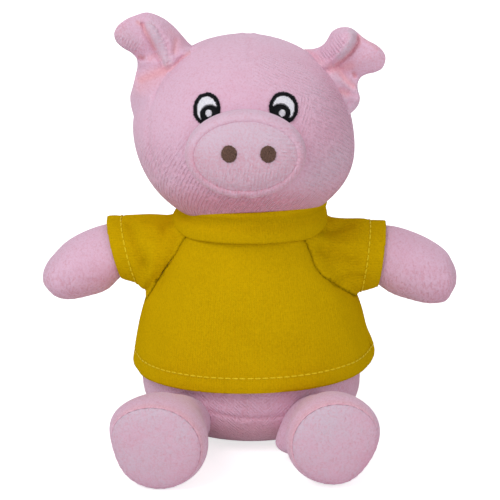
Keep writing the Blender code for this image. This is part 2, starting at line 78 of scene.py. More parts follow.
def fromMiddle(x, y):
    # How far pixels of the photograph are across and up from its middle, in metres at the target.
    half = shot["pixels"] / 2
    return (x - half) / half * shot["frameWidth"] / 2, (half - y) / half * shot["frameWidth"] / 2


def sight(x, y):
    # The line of sight through a pixel of the photograph.
    ray = Vector((*fromMiddle(x, y), -shot["distance"])).normalized()
    return camera.location.copy(), camera.matrix_world.to_3x3() @ ray


camera = addCamera()


def onPage(points):
    # Where points stand on the photograph, in its pixels.
    local = (points - np.array(camera.location)) @ np.array(camera.matrix_world.to_3x3())
    scale = -shot["distance"] / local[:, 2] / shot["frameWidth"] * shot["pixels"]
    half = shot["pixels"] / 2
    return half + local[:, 0] * scale, half - local[:, 1] * scale


# Shader maths written as sums
class Wire:
    def __init__(self, tree, socket=None):
        self.tree = tree
        self.socket = socket

    def add(self, kind, settings=None, sockets=None, out=0):
        node = self.tree.nodes.new(kind)
        for name, value in (settings or {}).items():
            setattr(node, name, value)
        for name, value in (sockets or {}).items():
            if isinstance(value, Wire):
                self.tree.links.new(value.socket, node.inputs[name])
            else:
                node.inputs[name].default_value = value
        return Wire(self.tree, node.outputs[out])

    def sum(self, operation, first, second=0.0):
        return self.add("ShaderNodeMath", {"operation": operation}, {0: first, 1: second})

    def __add__(self, other):
        return self.sum("ADD", self, other)

    def __sub__(self, other):
        return self.sum("SUBTRACT", self, other)

    def __rsub__(self, other):
        return self.sum("SUBTRACT", other, self)

    def __mul__(self, other):
        return self.sum("MULTIPLY", self, other)

    def sine(self):
        return self.sum("SINE", self)

    def clamp(self):
        return self.add("ShaderNodeClamp", None, {"Value": self})

    def between(self, low, high):
        # 0 below low, 1 above high, smooth in between.
        return self.add(
            "ShaderNodeMapRange",
            {"interpolation_type": "SMOOTHSTEP"},
            {"Value": self, "From Min": low, "From Max": high},
        )

    def noise(self, scale, detail=2.0, roughness=0.5):
        sockets = {"Vector": self, "Scale": scale, "Detail": detail, "Roughness": roughness}
        return self.add("ShaderNodeTexNoise", None, sockets)

    def stretched(self, scale, turn=(0, 0, 0)):
        return self.add("ShaderNodeMapping", None, {"Vector": self, "Scale": scale, "Rotation": turn})

    def blendTo(self, other, share):
        # Mixes two colours.
        settings = {"data_type": "RGBA"}
        return self.add("ShaderNodeMix", settings, {0: share, 6: self, 7: other}, out=2)

    def attribute(self, name):
        return self.add("ShaderNodeAttribute", {"attribute_name": name}, None, out=2)

    def colour(self, value):
        settings = {"data_type": "RGBA"}
        return self.add("ShaderNodeMix", settings, {0: 0.0, 6: (*value, 1), 7: (*value, 1)}, out=2)

    def end(self, kind):
        self.tree.links.new(self.socket, self.tree.nodes.new(kind).inputs[0])


# Lights and floor: soft and even, brighter from the upper left
studio = {
    "sky": ((0.98, 0.985, 1.0), 0.40),
    "key": ((-0.85, -0.90, 1.35), 1.0, 13.2, (1.0, 0.985, 0.985)),
    "front": ((-0.10, -1.35, 0.08), 1.2, 4.2, (1.0, 0.985, 0.985)),
    "fill": ((0.95, -0.95, 0.55), 1.0, 3.3, (1.0, 0.98, 0.97)),
    "back": ((0.1, 1.1, 0.9), 1.0, 4.5, (1.0, 1.0, 1.0)),
    "aim": (0, 0, 0.08),
    "floorSize": 12,
    "floorColour": (0.78, 0.78, 0.79, 1),
    "floorGlow": 0.70,
}


def addLamp(name):
    place, size, watts, colour = studio[name]
    bpy.ops.object.light_add(type="AREA", location=place)
    lamp = bpy.context.object
    lamp.name = name + "Lamp"
    lamp.data.size = size
    lamp.data.energy = watts
    lamp.data.color = colour
    toAim = Vector(studio["aim"]) - Vector(place)
    lamp.rotation_euler = toAim.to_track_quat("-Z", "Y").to_euler()


def addStudio():
    for name in ("key", "front", "fill", "back"):
        addLamp(name)
    world = bpy.data.worlds.new("studio")
    scene.world = world
    world.use_nodes = True
    world.node_tree.nodes.clear()
    start = Wire(world.node_tree)
    # The background is white where it is seen, and a pale sky for the light that falls on things.
    straight, mirrored, through = (
        start.add("ShaderNodeLightPath", out=f"Is {ray} Ray") for ray in ("Camera", "Glossy", "Transmission")
    )
    share = start.sum("MAXIMUM", start.sum("MAXIMUM", straight, mirrored), through)
    colour, strength = studio["sky"]
    sky = start.add("ShaderNodeBackground", None, {"Color": (*colour, 1), "Strength": strength})
    white = start.add("ShaderNodeBackground", None, {"Color": (1, 1, 1, 1), "Strength": 1})
    start.add("ShaderNodeMixShader", None, {0: share, 1: sky, 2: white}).end("ShaderNodeOutputWorld")


def addFloor():
    bpy.ops.mesh.primitive_plane_add(size=studio["floorSize"])
    floor = bpy.context.object
    floor.name = "floor"
    material = bpy.data.materials.new("floor")
    material.use_nodes = True
    material.node_tree.nodes.clear()
    start = Wire(material.node_tree)
    glow = start.add("ShaderNodeLightPath", out="Is Camera Ray") * studio["floorGlow"]
    paper = start.add("ShaderNodeBsdfDiffuse", None, {"Color": studio["floorColour"]})
    light = start.add("ShaderNodeEmission", None, {"Strength": glow})
    start.add("ShaderNodeAddShader", None, {0: paper, 1: light}).end("ShaderNodeOutputMaterial")
    floor.data.materials.append(material)


addStudio()
addFloor()
print("camera, lights and floor are set")


def newMaterial(name, roughness, sheen=0.0, sheenRoughness=0.5, sheenTint=(1, 1, 1), specular=0.3):
    material = bpy.data.materials.new(name)
    material.use_nodes = True
    shader = material.node_tree.nodes["Principled BSDF"]
    shader.inputs["Roughness"].default_value = roughness
    shader.inputs["Sheen Weight"].default_value = sheen
    shader.inputs["Sheen Roughness"].default_value = sheenRoughness
    shader.inputs["Sheen Tint"].default_value = (*sheenTint, 1)
    shader.inputs["Specular IOR Level"].default_value = specular
    start = Wire(material.node_tree)
    place = start.add("ShaderNodeTexCoord", None, None, out=3)
    return material, shader, place


def wireUp(place, shader, colour, height):
    # The height is in millimetres.
    place.tree.links.new(colour.socket, shader.inputs["Base Color"])
    bump = place.add("ShaderNodeBump", None, {"Height": height, "Distance": 0.001, "Strength": 1.0})
    place.tree.links.new(bump.socket, shader.inputs["Normal"])


# Short-pile plush. Painted light and shade: pale and greyish where the skin faces the light, and deeper
# pink where it faces away, in creases and beside seams. Its knitted backing shows as broken ribs.
plushLook = {
    "pale": (0.800, 0.530, 0.680),
    "solePale": (0.670, 0.525, 0.630),
    "mid": (0.770, 0.420, 0.565),
    "deep": (0.660, 0.275, 0.360),
    "grey": (0.690, 0.540, 0.645),
    # A warm salmon for painted shade in hollows
    "warmShade": (0.860, 0.450, 0.470),
    "sheen": 0.40,
    "sheenRoughness": 0.45,
    "sheenTint": (0.95, 0.90, 1.0),
    "cloudScale": 55,
    "moteScale": 620,
    "pileScale": 1250,
    "strokeScale": 1050,
    "wobbleScale": 400,
    "breakScale": 600,
    "ribHeight": 0.00024,
    "pileHeight": 0.00030,
}


def makePlush(name, look):
    material, shader, place = newMaterial(
        name, 0.95, look["sheen"], look["sheenRoughness"], look["sheenTint"], specular=0.08
    )
    cloud = place.noise(look["cloudScale"], 3.0, 0.6)
    mote = place.noise(look["moteScale"], 2.0, 0.6)
    pile = place.noise(look["pileScale"], 3.0, 0.7)
    strokes = place.stretched((1, 1, 0.4), (0, 0.5, 0)).noise(look["strokeScale"], 1.0)
    wobble = place.noise(look["wobbleScale"], 1.0) * 3.0
    unbroken = place.noise(look["breakScale"], 1.0).between(0.34, 0.58)
    ribs = (place.attribute("rib") + wobble).sine() * place.attribute("ribShow")
    ribs = ribs + (place.attribute("ribB") + wobble).sine() * place.attribute("ribBShow")
    ribs = ribs * unbroken
    # Painted light and shade by facing: paler towards the light, deeper away from it.
    sideShade = place.attribute("sideShade")
    mottle = strokes.between(0.47, 0.62) * place.attribute("mottle")
    light = (1.10 - sideShade * 1.25 + (cloud - 0.5) * 1.5 + (mote - 0.5) * 0.5).clamp()
    tone = place.colour(look["mid"]).blendTo(place.colour(look["pale"]), light)
    tone = tone.blendTo(place.colour(look["grey"]), place.attribute("grey"))
    # Painted shade, warm salmon, in hollows, at the sole seams and low on the belly.
    tone = tone.blendTo(place.colour(look["warmShade"]), place.attribute("warmShade"))
    # Painted shade in creases and on the side away from the light, with random pile and mottle.
    depth = place.attribute("crease") + sideShade * sideShade * 0.22 + (0.52 - pile) * 1.9 + (0.5 - mote) * 0.2
    depth = (depth - ribs * 0.22 + mottle * 0.36).clamp()
    tone = tone.blendTo(place.colour(look["deep"]), depth)
    height = pile * look["pileHeight"] + mote * (look["pileHeight"] * 0.6) + ribs * look["ribHeight"]
    height = height - mottle * (look["pileHeight"] * 0.5)
    wireUp(place, shader, tone, height * 1000)
    return material


# Matt jersey: fine wales down the cloth, slightly uneven dye, and painted shade in folds and at seams
jerseyLook = {
    "light": (0.625, 0.395, 0.0020),
    "dark": (0.465, 0.285, 0.0013),
    "walePitch": 0.00105,
    "coursePitch": 0.00085,
    "waverScale": 160,
    "cloudScale": 45,
    "fuzzScale": 1300,
    # Millimetres
    "knitHeight": 0.06,
    "fuzzHeight": 0.16,
}


def makeJersey(name, look):
    material, shader, place = newMaterial(name, 0.95, 0.12, 0.5, (1.0, 0.85, 0.0), specular=0.0)
    across = place.attribute("wale")
    down = place.attribute("course")
    waver = place.noise(look["waverScale"], 2.0) * 1.6
    wale = (across * (2 * math.pi / look["walePitch"]) + waver).sine()
    course = (down * (2 * math.pi / look["coursePitch"]) + waver).sine()
    knit = wale * 0.6 + wale * course * 0.4
    cloud = place.noise(look["cloudScale"], 3.0, 0.55)
    fuzz = place.noise(look["fuzzScale"], 2.0, 0.6)
    # Painted shade in folds and at seams, with random clouds and fuzz, darkens the cloth.
    crease = place.attribute("crease")
    dim = (crease + (0.5 - cloud) * 0.5 + (0.5 - fuzz) * 1.6 - knit * 0.12 + 0.25).clamp()
    tone = place.colour(look["light"]).blendTo(place.colour(look["dark"]), dim)
    wireUp(place, shader, tone, knit * look["knitHeight"] + fuzz * look["fuzzHeight"])
    return material


# Thread: darker and lighter strands, roughness, sheen, specular
threadLooks = {
    "blackThread": ((0.0012, 0.0012, 0.0018), (0.005, 0.005, 0.008), 0.55, 0.0, 0.10),
    "whiteThread": ((0.68, 0.675, 0.76), (0.92, 0.92, 0.95), 0.45, 0.2, 0.40),
    "brownThread": ((0.050, 0.024, 0.017), (0.200, 0.105, 0.075), 0.50, 0.1, 0.30),
    "mustardThread": ((0.68, 0.48, 0.006), (0.86, 0.66, 0.020), 0.60, 0.0, 0.10),
}
strandScale = 2600


def makeThread(name, looks):
    dark, light, roughness, sheen, specular = looks
    material, shader, place = newMaterial(name, roughness, sheen, 0.4, specular=specular)
    strand = place.noise(strandScale, 2.0, 0.6)
    tone = place.colour(dark).blendTo(place.colour(light), strand.between(0.3, 0.7))
    wireUp(place, shader, tone, strand * 0.10)
    return material


plush = makePlush("plush", plushLook)
solePlush = makePlush("solePlush", {**plushLook, "pale": plushLook["solePale"]})
jersey = makeJersey("jersey", jerseyLook)
threads = {name: makeThread(name, looks) for name, looks in threadLooks.items()}
print("materials are made")


# Tools for shaping


def deselect():
    if bpy.context.object and bpy.context.object.mode != "OBJECT":
        bpy.ops.object.mode_set(mode="OBJECT")
    bpy.ops.object.select_all(action="DESELECT")


def pick(piece):
    deselect()
    piece.select_set(True)
    bpy.context.view_layer.objects.active = piece


def named(name):
    piece = bpy.context.object
    piece.name = name
    piece.data.name = name
    return piece


def readPoints(piece):
    flat = np.empty(len(piece.data.vertices) * 3)
    piece.data.vertices.foreach_get("co", flat)
    return flat.reshape(-1, 3)


def writePoints(piece, points):
    piece.data.vertices.foreach_set("co", points.ravel())
    piece.data.update()


def readNormals(piece):
    flat = np.empty(len(piece.data.vertices) * 3, np.float32)
    piece.data.vertex_normals.foreach_get("vector", flat)
    return flat.reshape(-1, 3).astype(float)


def paint(piece, name, values):
    # One value for each point, or one for all.
    mesh = piece.data
    layer = mesh.attributes.get(name) or mesh.attributes.new(name, "FLOAT", "POINT")
    layer.data.foreach_set("value", np.full(len(mesh.vertices), values, np.float32))


def faceOutward(piece):
    pick(piece)
    bpy.ops.object.mode_set(mode="EDIT")
    bpy.ops.mesh.select_all(action="SELECT")
    bpy.ops.mesh.remove_doubles(threshold=0.000002)
    bpy.ops.mesh.normals_make_consistent(inside=False)
    bpy.ops.object.mode_set(mode="OBJECT")


def applyModifier(piece, kind, **settings):
    pick(piece)
    modifier = piece.modifiers.new(kind.lower(), kind)
    for name, value in settings.items():
        setattr(modifier, name, value)
    bpy.ops.object.modifier_apply(modifier=modifier.name)


def ramp(values, low, high):
    share = np.clip((values - low) / (high - low), 0, 1)
    return share * share * (3 - 2 * share)


def paintSideShade(piece, share=1.0, towards=(-0.45, -0.30, 0.84)):
    # Painted shade by facing: 0 where the skin faces the light and is painted pale, 1 where it faces away.
    paint(piece, "sideShade", share * (0.5 - 0.5 * (readNormals(piece) @ np.array(towards))))


def paintRibs(piece, name, across, up, way, pitch, show):
    # Lines of the knitted backing, running at way degrees on the unrolled skin.
    turn = math.radians(way)
    paint(piece, name, (up * math.cos(turn) - across * math.sin(turn)) * 2 * math.pi / pitch)
    paint(piece, name + "Show", show)


def finishPiece(piece, material, body, replaced=(), sideShade=1.0):
    # The plush is painted paler on the side facing the light and deeper on the side away from it.
    if material in (plush, solePlush):
        paintSideShade(piece, sideShade)
    pick(piece)
    bpy.ops.object.shade_smooth()
    piece.data.materials.clear()
    piece.data.materials.append(material)
    if body:
        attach(piece, body)
    if replaced:
        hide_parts(*replaced)


balls = {}


def addBall(name, around, along):
    # A ball of each count of faces is made once and then copied.
    deselect()
    if (around, along) in balls:
        ball = bpy.data.objects.new(name, balls[around, along].copy())
        scene.collection.objects.link(ball)
    else:
        bpy.ops.mesh.primitive_uv_sphere_add(segments=around, ring_count=along, radius=1, calc_uvs=False)
        ball = bpy.context.object
        balls[around, along] = ball.data.copy()
    ball.name = ball.data.name = name
    return ball


def addBag(name, around, along, form):
    # A closed skin: the rings of a ball moved to where form puts them.
    # form takes the share of the way from the first pole to the last, and the turn round.
    bag = addBall(name, around, along)
    ball = readPoints(bag)
    turn = np.arctan2(ball[:, 1], ball[:, 0])
    share = np.arccos(np.clip(ball[:, 2], -1, 1)) / math.pi
    writePoints(bag, form(share, turn))
    faceOutward(bag)
    return bag


def follow(stops, at):
    # A smooth line through stops of (place, value, ...), read at many places.
    stops = np.array(stops, float)
    places, values = stops[:, 0], stops[:, 1:]
    slopes = np.gradient(values, places, axis=0)
    i = np.clip(np.searchsorted(places, at, side="right") - 1, 0, len(places) - 2)
    span = (places[i + 1] - places[i])[:, None]
    t = np.clip((np.asarray(at) - places[i])[:, None] / span, 0, 1)
    a, b, da, db = values[i], values[i + 1], slopes[i] * span, slopes[i + 1] * span
    line = (2 * t**3 - 3 * t**2 + 1) * a + (t**3 - 2 * t**2 + t) * da
    line = line + (3 * t**2 - 2 * t**3) * b + (t**3 - t**2) * db
    return line[:, 0] if values.shape[1] == 1 else line


def nearest(points, path):
    # Distance of each point to a line of points, and how far along the line that is.
    path = np.array(path, float)
    best = np.full(len(points), 1e9)
    along = np.zeros(len(points))
    run = 0.0
    for a, b in zip(path[:-1], path[1:]):
        d = b - a
        length = max(np.linalg.norm(d), 1e-9)
        t = np.clip((points - a) @ d / length**2, 0, 1)
        gap = np.linalg.norm(points - a - t[:, None] * d, axis=1)
        closer = gap < best
        best[closer] = gap[closer]
        along[closer] = run + t[closer] * length
        run += length
    return best, along


def bell(distance, width):
    return np.exp(-((distance / width) ** 2))


def sewSeam(piece, path, depth=0.0007, width=0.0009, puff=0.0003, pucker=0.00012, pitch=0.0030, tint=0.5):
    # Draws the skin in along a seam, lets it swell beside it, puckers it at the stitches, and paints shade
    # along it.
    points, normals = readPoints(piece), readNormals(piece)
    gap, along = nearest(points, path)
    rise = -depth * bell(gap, width) + puff * bell(gap - width * 2.6, width * 1.6)
    rise += pucker * bell(gap, width * 2.2) * np.sin(2 * math.pi * along / pitch)
    writePoints(piece, points + normals * rise[:, None])
    addCreaseShade(piece, tint * bell(gap, width * 1.5))


def addCreaseShade(piece, amount):
    # Painted shade: the crease attribute deepens the plush's pink and darkens the jersey where shade falls,
    # in creases, seams and hollows.
    layer = piece.data.attributes.get("crease")
    before = np.zeros(len(piece.data.vertices), np.float32)
    if layer:
        layer.data.foreach_get("value", before)
    paint(piece, "crease", np.clip(before + amount, 0, 1))


def push(piece, spots):
    # Shaping: each spot pushes the skin out (or in, below zero) round a point.
    points, normals = readPoints(piece), readNormals(piece)
    rise = np.zeros(len(points))
    for centre, reach, amount in spots:
        rise += amount * bell(np.linalg.norm(points - np.array(centre), axis=1), reach)
    writePoints(piece, points + normals * rise[:, None])


def skinTree(piece):
    polygons = [tuple(face.vertices) for face in piece.data.polygons]
    return BVHTree.FromPolygons([Vector(point) for point in readPoints(piece)], polygons)


def seen(tree, x, y):
    # Where the line of sight through a pixel first meets a piece.
    start, ray = sight(x, y)
    return tree.ray_cast(start, ray)[0]


# Rays that look for the skin start this far from the middle.
farOff = 0.3


def hit(tree, start, way):
    return tree.ray_cast(Vector(start), Vector(way))[0]


def seenPath(tree, pixels):
    spots = [seen(tree, x, y) for x, y in pixels]
    return [spot for spot in spots if spot is not None]


def lengths(path):
    # How far along a line each of its points is.
    return np.concatenate([[0], np.cumsum(np.linalg.norm(np.diff(path, axis=0), axis=1))])


def thickened(path, count):
    # More points along a line, smoothly.
    path = np.array(path, float)
    run = lengths(path)
    return follow(np.column_stack([run, path]), np.linspace(0, run[-1], count))


def stroke(x, y, path):
    # Distance to a drawn line, and which side of it (1 is left of its direction on the page).
    at = np.column_stack([x, y])
    best, side = np.full(len(x), 1e9), np.ones(len(x))
    for a, b in zip(path[:-1], path[1:]):
        a, d = np.array(a, float), np.subtract(b, a)
        t = np.clip((at - a) @ d / (d @ d), 0, 1)
        gap = np.linalg.norm(at - a - t[:, None] * d, axis=1)
        closer = gap < best
        best[closer] = gap[closer]
        turn = d[0] * (at[:, 1] - a[1]) - d[1] * (at[:, 0] - a[0])
        side[closer] = np.where(turn[closer] < 0, 1.0, -1.0)
    return best, side


# Snout: an oval cushion of a side band and a front panel
snout = {
    "middle": (-0.0009, 0.1286),
    "halfWidth": 0.0232,
    "halfHeight": 0.0172,
    "root": 0.0290,
    "rim": 0.0514,
    "front": 0.0556,
    "rimShareWide": 0.845,
    "rimShareHigh": 0.790,
    # The band's ends are joined under the snout.
    "join": [(-0.0022, -0.040, 0.1095), (-0.0020, -0.046, 0.1097), (-0.0018, -0.0505, 0.1120)],
}


def snoutRing(turn, wide, high, ahead):
    x = snout["middle"][0] + snout["halfWidth"] * wide * np.cos(turn)
    z = snout["middle"][1] + snout["halfHeight"] * high * np.sin(turn)
    return np.column_stack([x, np.full_like(x, -ahead), z])


# Head: a stuffed ball in a face panel and two back panels, joined by the seam that holds the ears
head = {
    "middle": 0.1240,
    "halfWidth": 0.0441,
    "halfDepth": 0.0412,
    "rise": 0.0414,
    "drop": 0.0372,
    "squareness": 2.03,
    "aside": -0.0010,
    "lean": -0.016,
    "neck": 0.0890,
    # Where the ball is fuller or flatter: a place, how far it reaches, how far out
    "shape": [
        ((0.0410, -0.010, 0.133), 0.013, -0.0012),
        ((0.0400, -0.010, 0.112), 0.013, 0.0010),
        ((-0.0440, -0.006, 0.134), 0.014, 0.0018),
    ],
}


def headForm(share, turn):
    # Poles in front and behind, so that the top is smooth.
    ahead = -np.cos(share * math.pi)
    out = np.sin(share * math.pi)
    x = out * np.cos(turn)
    z = out * np.sin(turn)
    power = head["squareness"]
    scale = (np.abs(x) ** power + np.abs(ahead) ** power + np.abs(z) ** power) ** (-1 / power)
    reach = np.where(z > 0, head["rise"], head["drop"])
    z = z * scale * reach
    x = x * scale * head["halfWidth"] + head["aside"] + z * head["lean"]
    return np.column_stack([x, ahead * scale * head["halfDepth"], head["middle"] + z])


def makeHead():
    piece = addBag("headPlush", 288, 160, headForm)
    points = readPoints(piece)
    low = points[:, 2] < head["neck"]
    points[low, 2] = head["neck"] + (points[low, 2] - head["neck"]) * 0.1
    writePoints(piece, points)
    push(piece, head["shape"])
    return piece


headPlush = makeHead()
headTree = skinTree(headPlush)

# Seams of the head. Those of the face are pixels on the photograph, the others are places in metres.
headSeams = {
    "left": [
        (197, 50), (185, 56), (172, 69), (163, 79), (155, 92), (149, 110), (148, 128), (150, 150), (158, 172),
    ],
    "right": [(303, 50), (317, 61), (326, 70), (334, 81), (341, 93), (347, 106), (350, 122)],
    "over": [(-0.014, 0.006), (0, 0.006), (0.014, 0.006)],
    "below": [(0.0440, -0.012, 0.120), (0.034, -0.016, 0.098)],
    "dartAside": 0.0008,
    "dart": (0.1648, 0.1634, 0.1618, 0.1602),
    "back": (0.1635, 0.0930),
}


def sewHead():
    left, right = (seenPath(headTree, headSeams[side]) for side in ("left", "right"))
    crown = [hit(headTree, (x, y, farOff), (0, 0, -1)) for x, y in headSeams["over"]]
    below = [headTree.find_nearest(Vector(spot))[0] for spot in headSeams["below"]]
    seam = thickened([*reversed(left), *crown, *right, *below], 120)
    sewSeam(headPlush, seam, depth=0.0003, width=0.0013, puff=0.0001, pucker=0.00005, tint=0.07)
    dart = [hit(headTree, (headSeams["dartAside"], -farOff, z), (0, 1, 0)) for z in headSeams["dart"]]
    dart = thickened(dart, 24)
    sewSeam(headPlush, dart, depth=0.00035, width=0.0008, puff=0.0001, pucker=0.00004, tint=0.10)
    back = [hit(headTree, (0, farOff, z), (0, -1, 0)) for z in np.linspace(*headSeams["back"], 24)]
    sewSeam(headPlush, thickened([crown[1]] + back, 100), depth=0.0007, width=0.0009, tint=0.35)


# Where the ribs of the face show: from none to full, and where given from full to none again, in pixels;
# then where the jaw is greyer, and where shade is painted under the cheeks and round the snout
faceRibs = {
    "way": 53,
    "otherWay": -25,
    "pitch": 0.0016,
    "chin": ((316, 330), (188, 200)),
    "cheekLeft": ((230, 250), (122, 168)),
    "besideEye": ((299, 303, 311, 315), (92, 100, 132, 146)),
    "cheekRight": ((290, 316), (80, 100)),
    "forehead": ((245, 275), (44, 60, 84, 104)),
    "jaw": [(275, 202), (308, 188), (336, 160)],
    "underCheeks": ((290, 330), (178, 208)),
    "besideSnout": (118, 150),
}


def rising(values, stops):
    # From 0 to 1 between the first two stops, and back to 0 between the last two of four.
    share = ramp(values, *stops[:2])
    return share if len(stops) == 2 else share * (1 - ramp(values, *stops[2:]))


def ribHead():
    points = readPoints(headPlush)
    x, y = onPage(points)
    height = np.clip((points[:, 2] - head["middle"]) / head["rise"], -1, 1)
    across = np.arctan2(points[:, 0], -points[:, 1]) * head["halfWidth"]
    up = np.arcsin(height) * head["rise"]
    front = 1 - ramp(points[:, 1], 0.002, 0.014)
    crown = 1 - ramp(np.abs(height), 0.90, 0.97)

    def zone(key):
        return rising(x, faceRibs[key][0]), rising(y, faceRibs[key][1])

    chin, cheekLeft = (down * (1 - over) for over, down in (zone("chin"), zone("cheekLeft")))
    patches = (zone("besideEye"), zone("cheekRight"), zone("forehead"))
    beside, cheekRight, forehead = (over * down for over, down in patches)
    beside = beside * 0.5
    cheekRight = cheekRight * 0.85 * (1 - beside) * (1 - chin)
    behind = np.where(points[:, 0] < 0, 0.5, 0) * (1 - front)
    show = np.clip(np.maximum(cheekLeft, chin) + beside, 0, 1) * front + behind
    showOther = np.clip(cheekRight + forehead * 0.5, 0, 1) * front + 0.5 * (1 - front) - behind
    paintRibs(headPlush, "rib", across, up, faceRibs["way"], faceRibs["pitch"], show * crown)
    paintRibs(headPlush, "ribB", across, up, faceRibs["otherWay"], faceRibs["pitch"], showOther * crown)
    paint(headPlush, "mottle", 0.15)
    paint(headPlush, "grey", 0.55 * bell(stroke(x, y, faceRibs["jaw"])[0], 16) * front)
    # Painted shade: under the cheeks the skin is painted deeper pink, and round the snout's edge and behind
    # it too.
    over, low = zone("underCheeks")
    addCreaseShade(headPlush, 0.80 * low * (1 - 0.5 * over) * front)
    outline = snoutRing(np.linspace(0, 2 * math.pi, 80), 0.96, 0.96, 0)
    gap = nearest(points[:, [0, 2]], outline[:, [0, 2]])[0]
    inside = ((points[:, 0] - snout["middle"][0]) / snout["halfWidth"]) ** 2
    inside = inside + ((points[:, 2] - snout["middle"][1]) / snout["halfHeight"]) ** 2 < 1
    tint = np.where(inside, 0.3, 0.26 * bell(gap, 0.0016))
    addCreaseShade(headPlush, tint * rising(y, faceRibs["besideSnout"]) * front)


sewHead()
ribHead()
finishPiece(headPlush, plush, "head", ["head_cover", "head_filling"])
headTree = skinTree(headPlush)
print("head is sewn")


def bandForm(share, turn):
    # From inside the head, out along the side, round the full shoulder and in under the panel.
    rimWide, rimHigh = snout["rimShareWide"], snout["rimShareHigh"]
    stops = [
        (0.00, 0.0, 0.0, snout["root"]),
        (0.12, 0.84, 0.82, snout["root"]),
        (0.26, 0.90, 0.88, 0.0370),
        (0.40, 0.955, 0.945, 0.0425),
        (0.52, 1.0, 1.0, 0.0464),
        (0.62, 0.993, 0.990, 0.0490),
        (0.70, 0.964, 0.955, 0.0508),
        (0.77, 0.920, 0.896, 0.0518),
        (0.83, 0.880, 0.836, 0.0521),
        (0.88, rimWide, rimHigh, snout["rim"] + 0.0004),
        (0.93, rimWide - 0.045, rimHigh - 0.055, snout["rim"] - 0.0010),
        (1.00, 0.0, 0.0, snout["rim"] - 0.0028),
    ]
    wide, high, ahead = follow(stops, share).T
    return snoutRing(turn, wide, high, ahead)


def panelForm(share, turn):
    rimWide, rimHigh = snout["rimShareWide"], snout["rimShareHigh"]
    dome = snout["front"] - snout["rim"]
    stops = [
        (0.00, 0.0, 0.0, snout["rim"] - 0.0020),
        (0.16, rimWide * 0.93, rimHigh * 0.93, snout["rim"] - 0.0018),
        (0.24, rimWide * 1.006, rimHigh * 1.006, snout["rim"]),
        (0.32, rimWide * 0.998, rimHigh * 0.998, snout["rim"] + 0.0007),
        (0.42, rimWide * 0.930, rimHigh * 0.930, snout["rim"] + dome * 0.31),
        (0.55, rimWide * 0.78, rimHigh * 0.78, snout["rim"] + dome * 0.62),
        (0.75, rimWide * 0.42, rimHigh * 0.42, snout["rim"] + dome * 0.92),
        (1.00, 0.0, 0.0, snout["front"]),
    ]
    wide, high, ahead = follow(stops, share).T
    return snoutRing(turn, wide, high, ahead)


def makeSnout():
    band = addBag("snoutBand", 160, 90, bandForm)
    panel = addBag("snoutPanel", 160, 90, panelForm)
    turns = np.linspace(0, 2 * math.pi, 100)
    rim = snoutRing(turns, snout["rimShareWide"], snout["rimShareHigh"], snout["rim"])
    for piece, tint, grey in ((band, 0.34, 0.45), (panel, 0.20, 0.85)):
        points = readPoints(piece)
        across, up = points[:, 0] - snout["middle"][0], points[:, 2] - snout["middle"][1]
        gap, along = nearest(points, rim)
        low = ramp(-across * 0.5 - up, -0.012, 0.016)
        # Painted shade along the rim's seam, strongest low down.
        addCreaseShade(piece, tint * bell(gap, 0.0010) * (0.15 + 0.85 * low))
        normals = readNormals(piece)
        rise = 0.00005 * bell(gap, 0.0022) * np.sin(2 * math.pi * along / 0.0030)
        writePoints(piece, points + normals * rise[:, None])
        paintRibs(piece, "rib", across, up, 82, 0.0014, 0.55 * ramp(-up, -0.002, 0.009))
        side = ramp(across, 0.002, 0.012) * ramp(up, -0.008, 0.0)
        paintRibs(piece, "ribB", across, up, -8, 0.0015, 0.45 * side)
        paint(piece, "mottle", 0.15)
        paint(piece, "grey", grey)
        # Painted shade on the lower half.
        addCreaseShade(piece, 0.24 * ramp(-up, -0.008, 0.001))
    sewSeam(band, snout["join"], depth=0.0008, width=0.0012, puff=0.0003, pucker=0.0, tint=0.4)
    finishPiece(band, plush, "head", ["snout_band", "snout_filling"])
    finishPiece(panel, plush, "head", ["snout_panel"])
    return panel


snoutPanel = makeSnout()
print("snout is sewn")

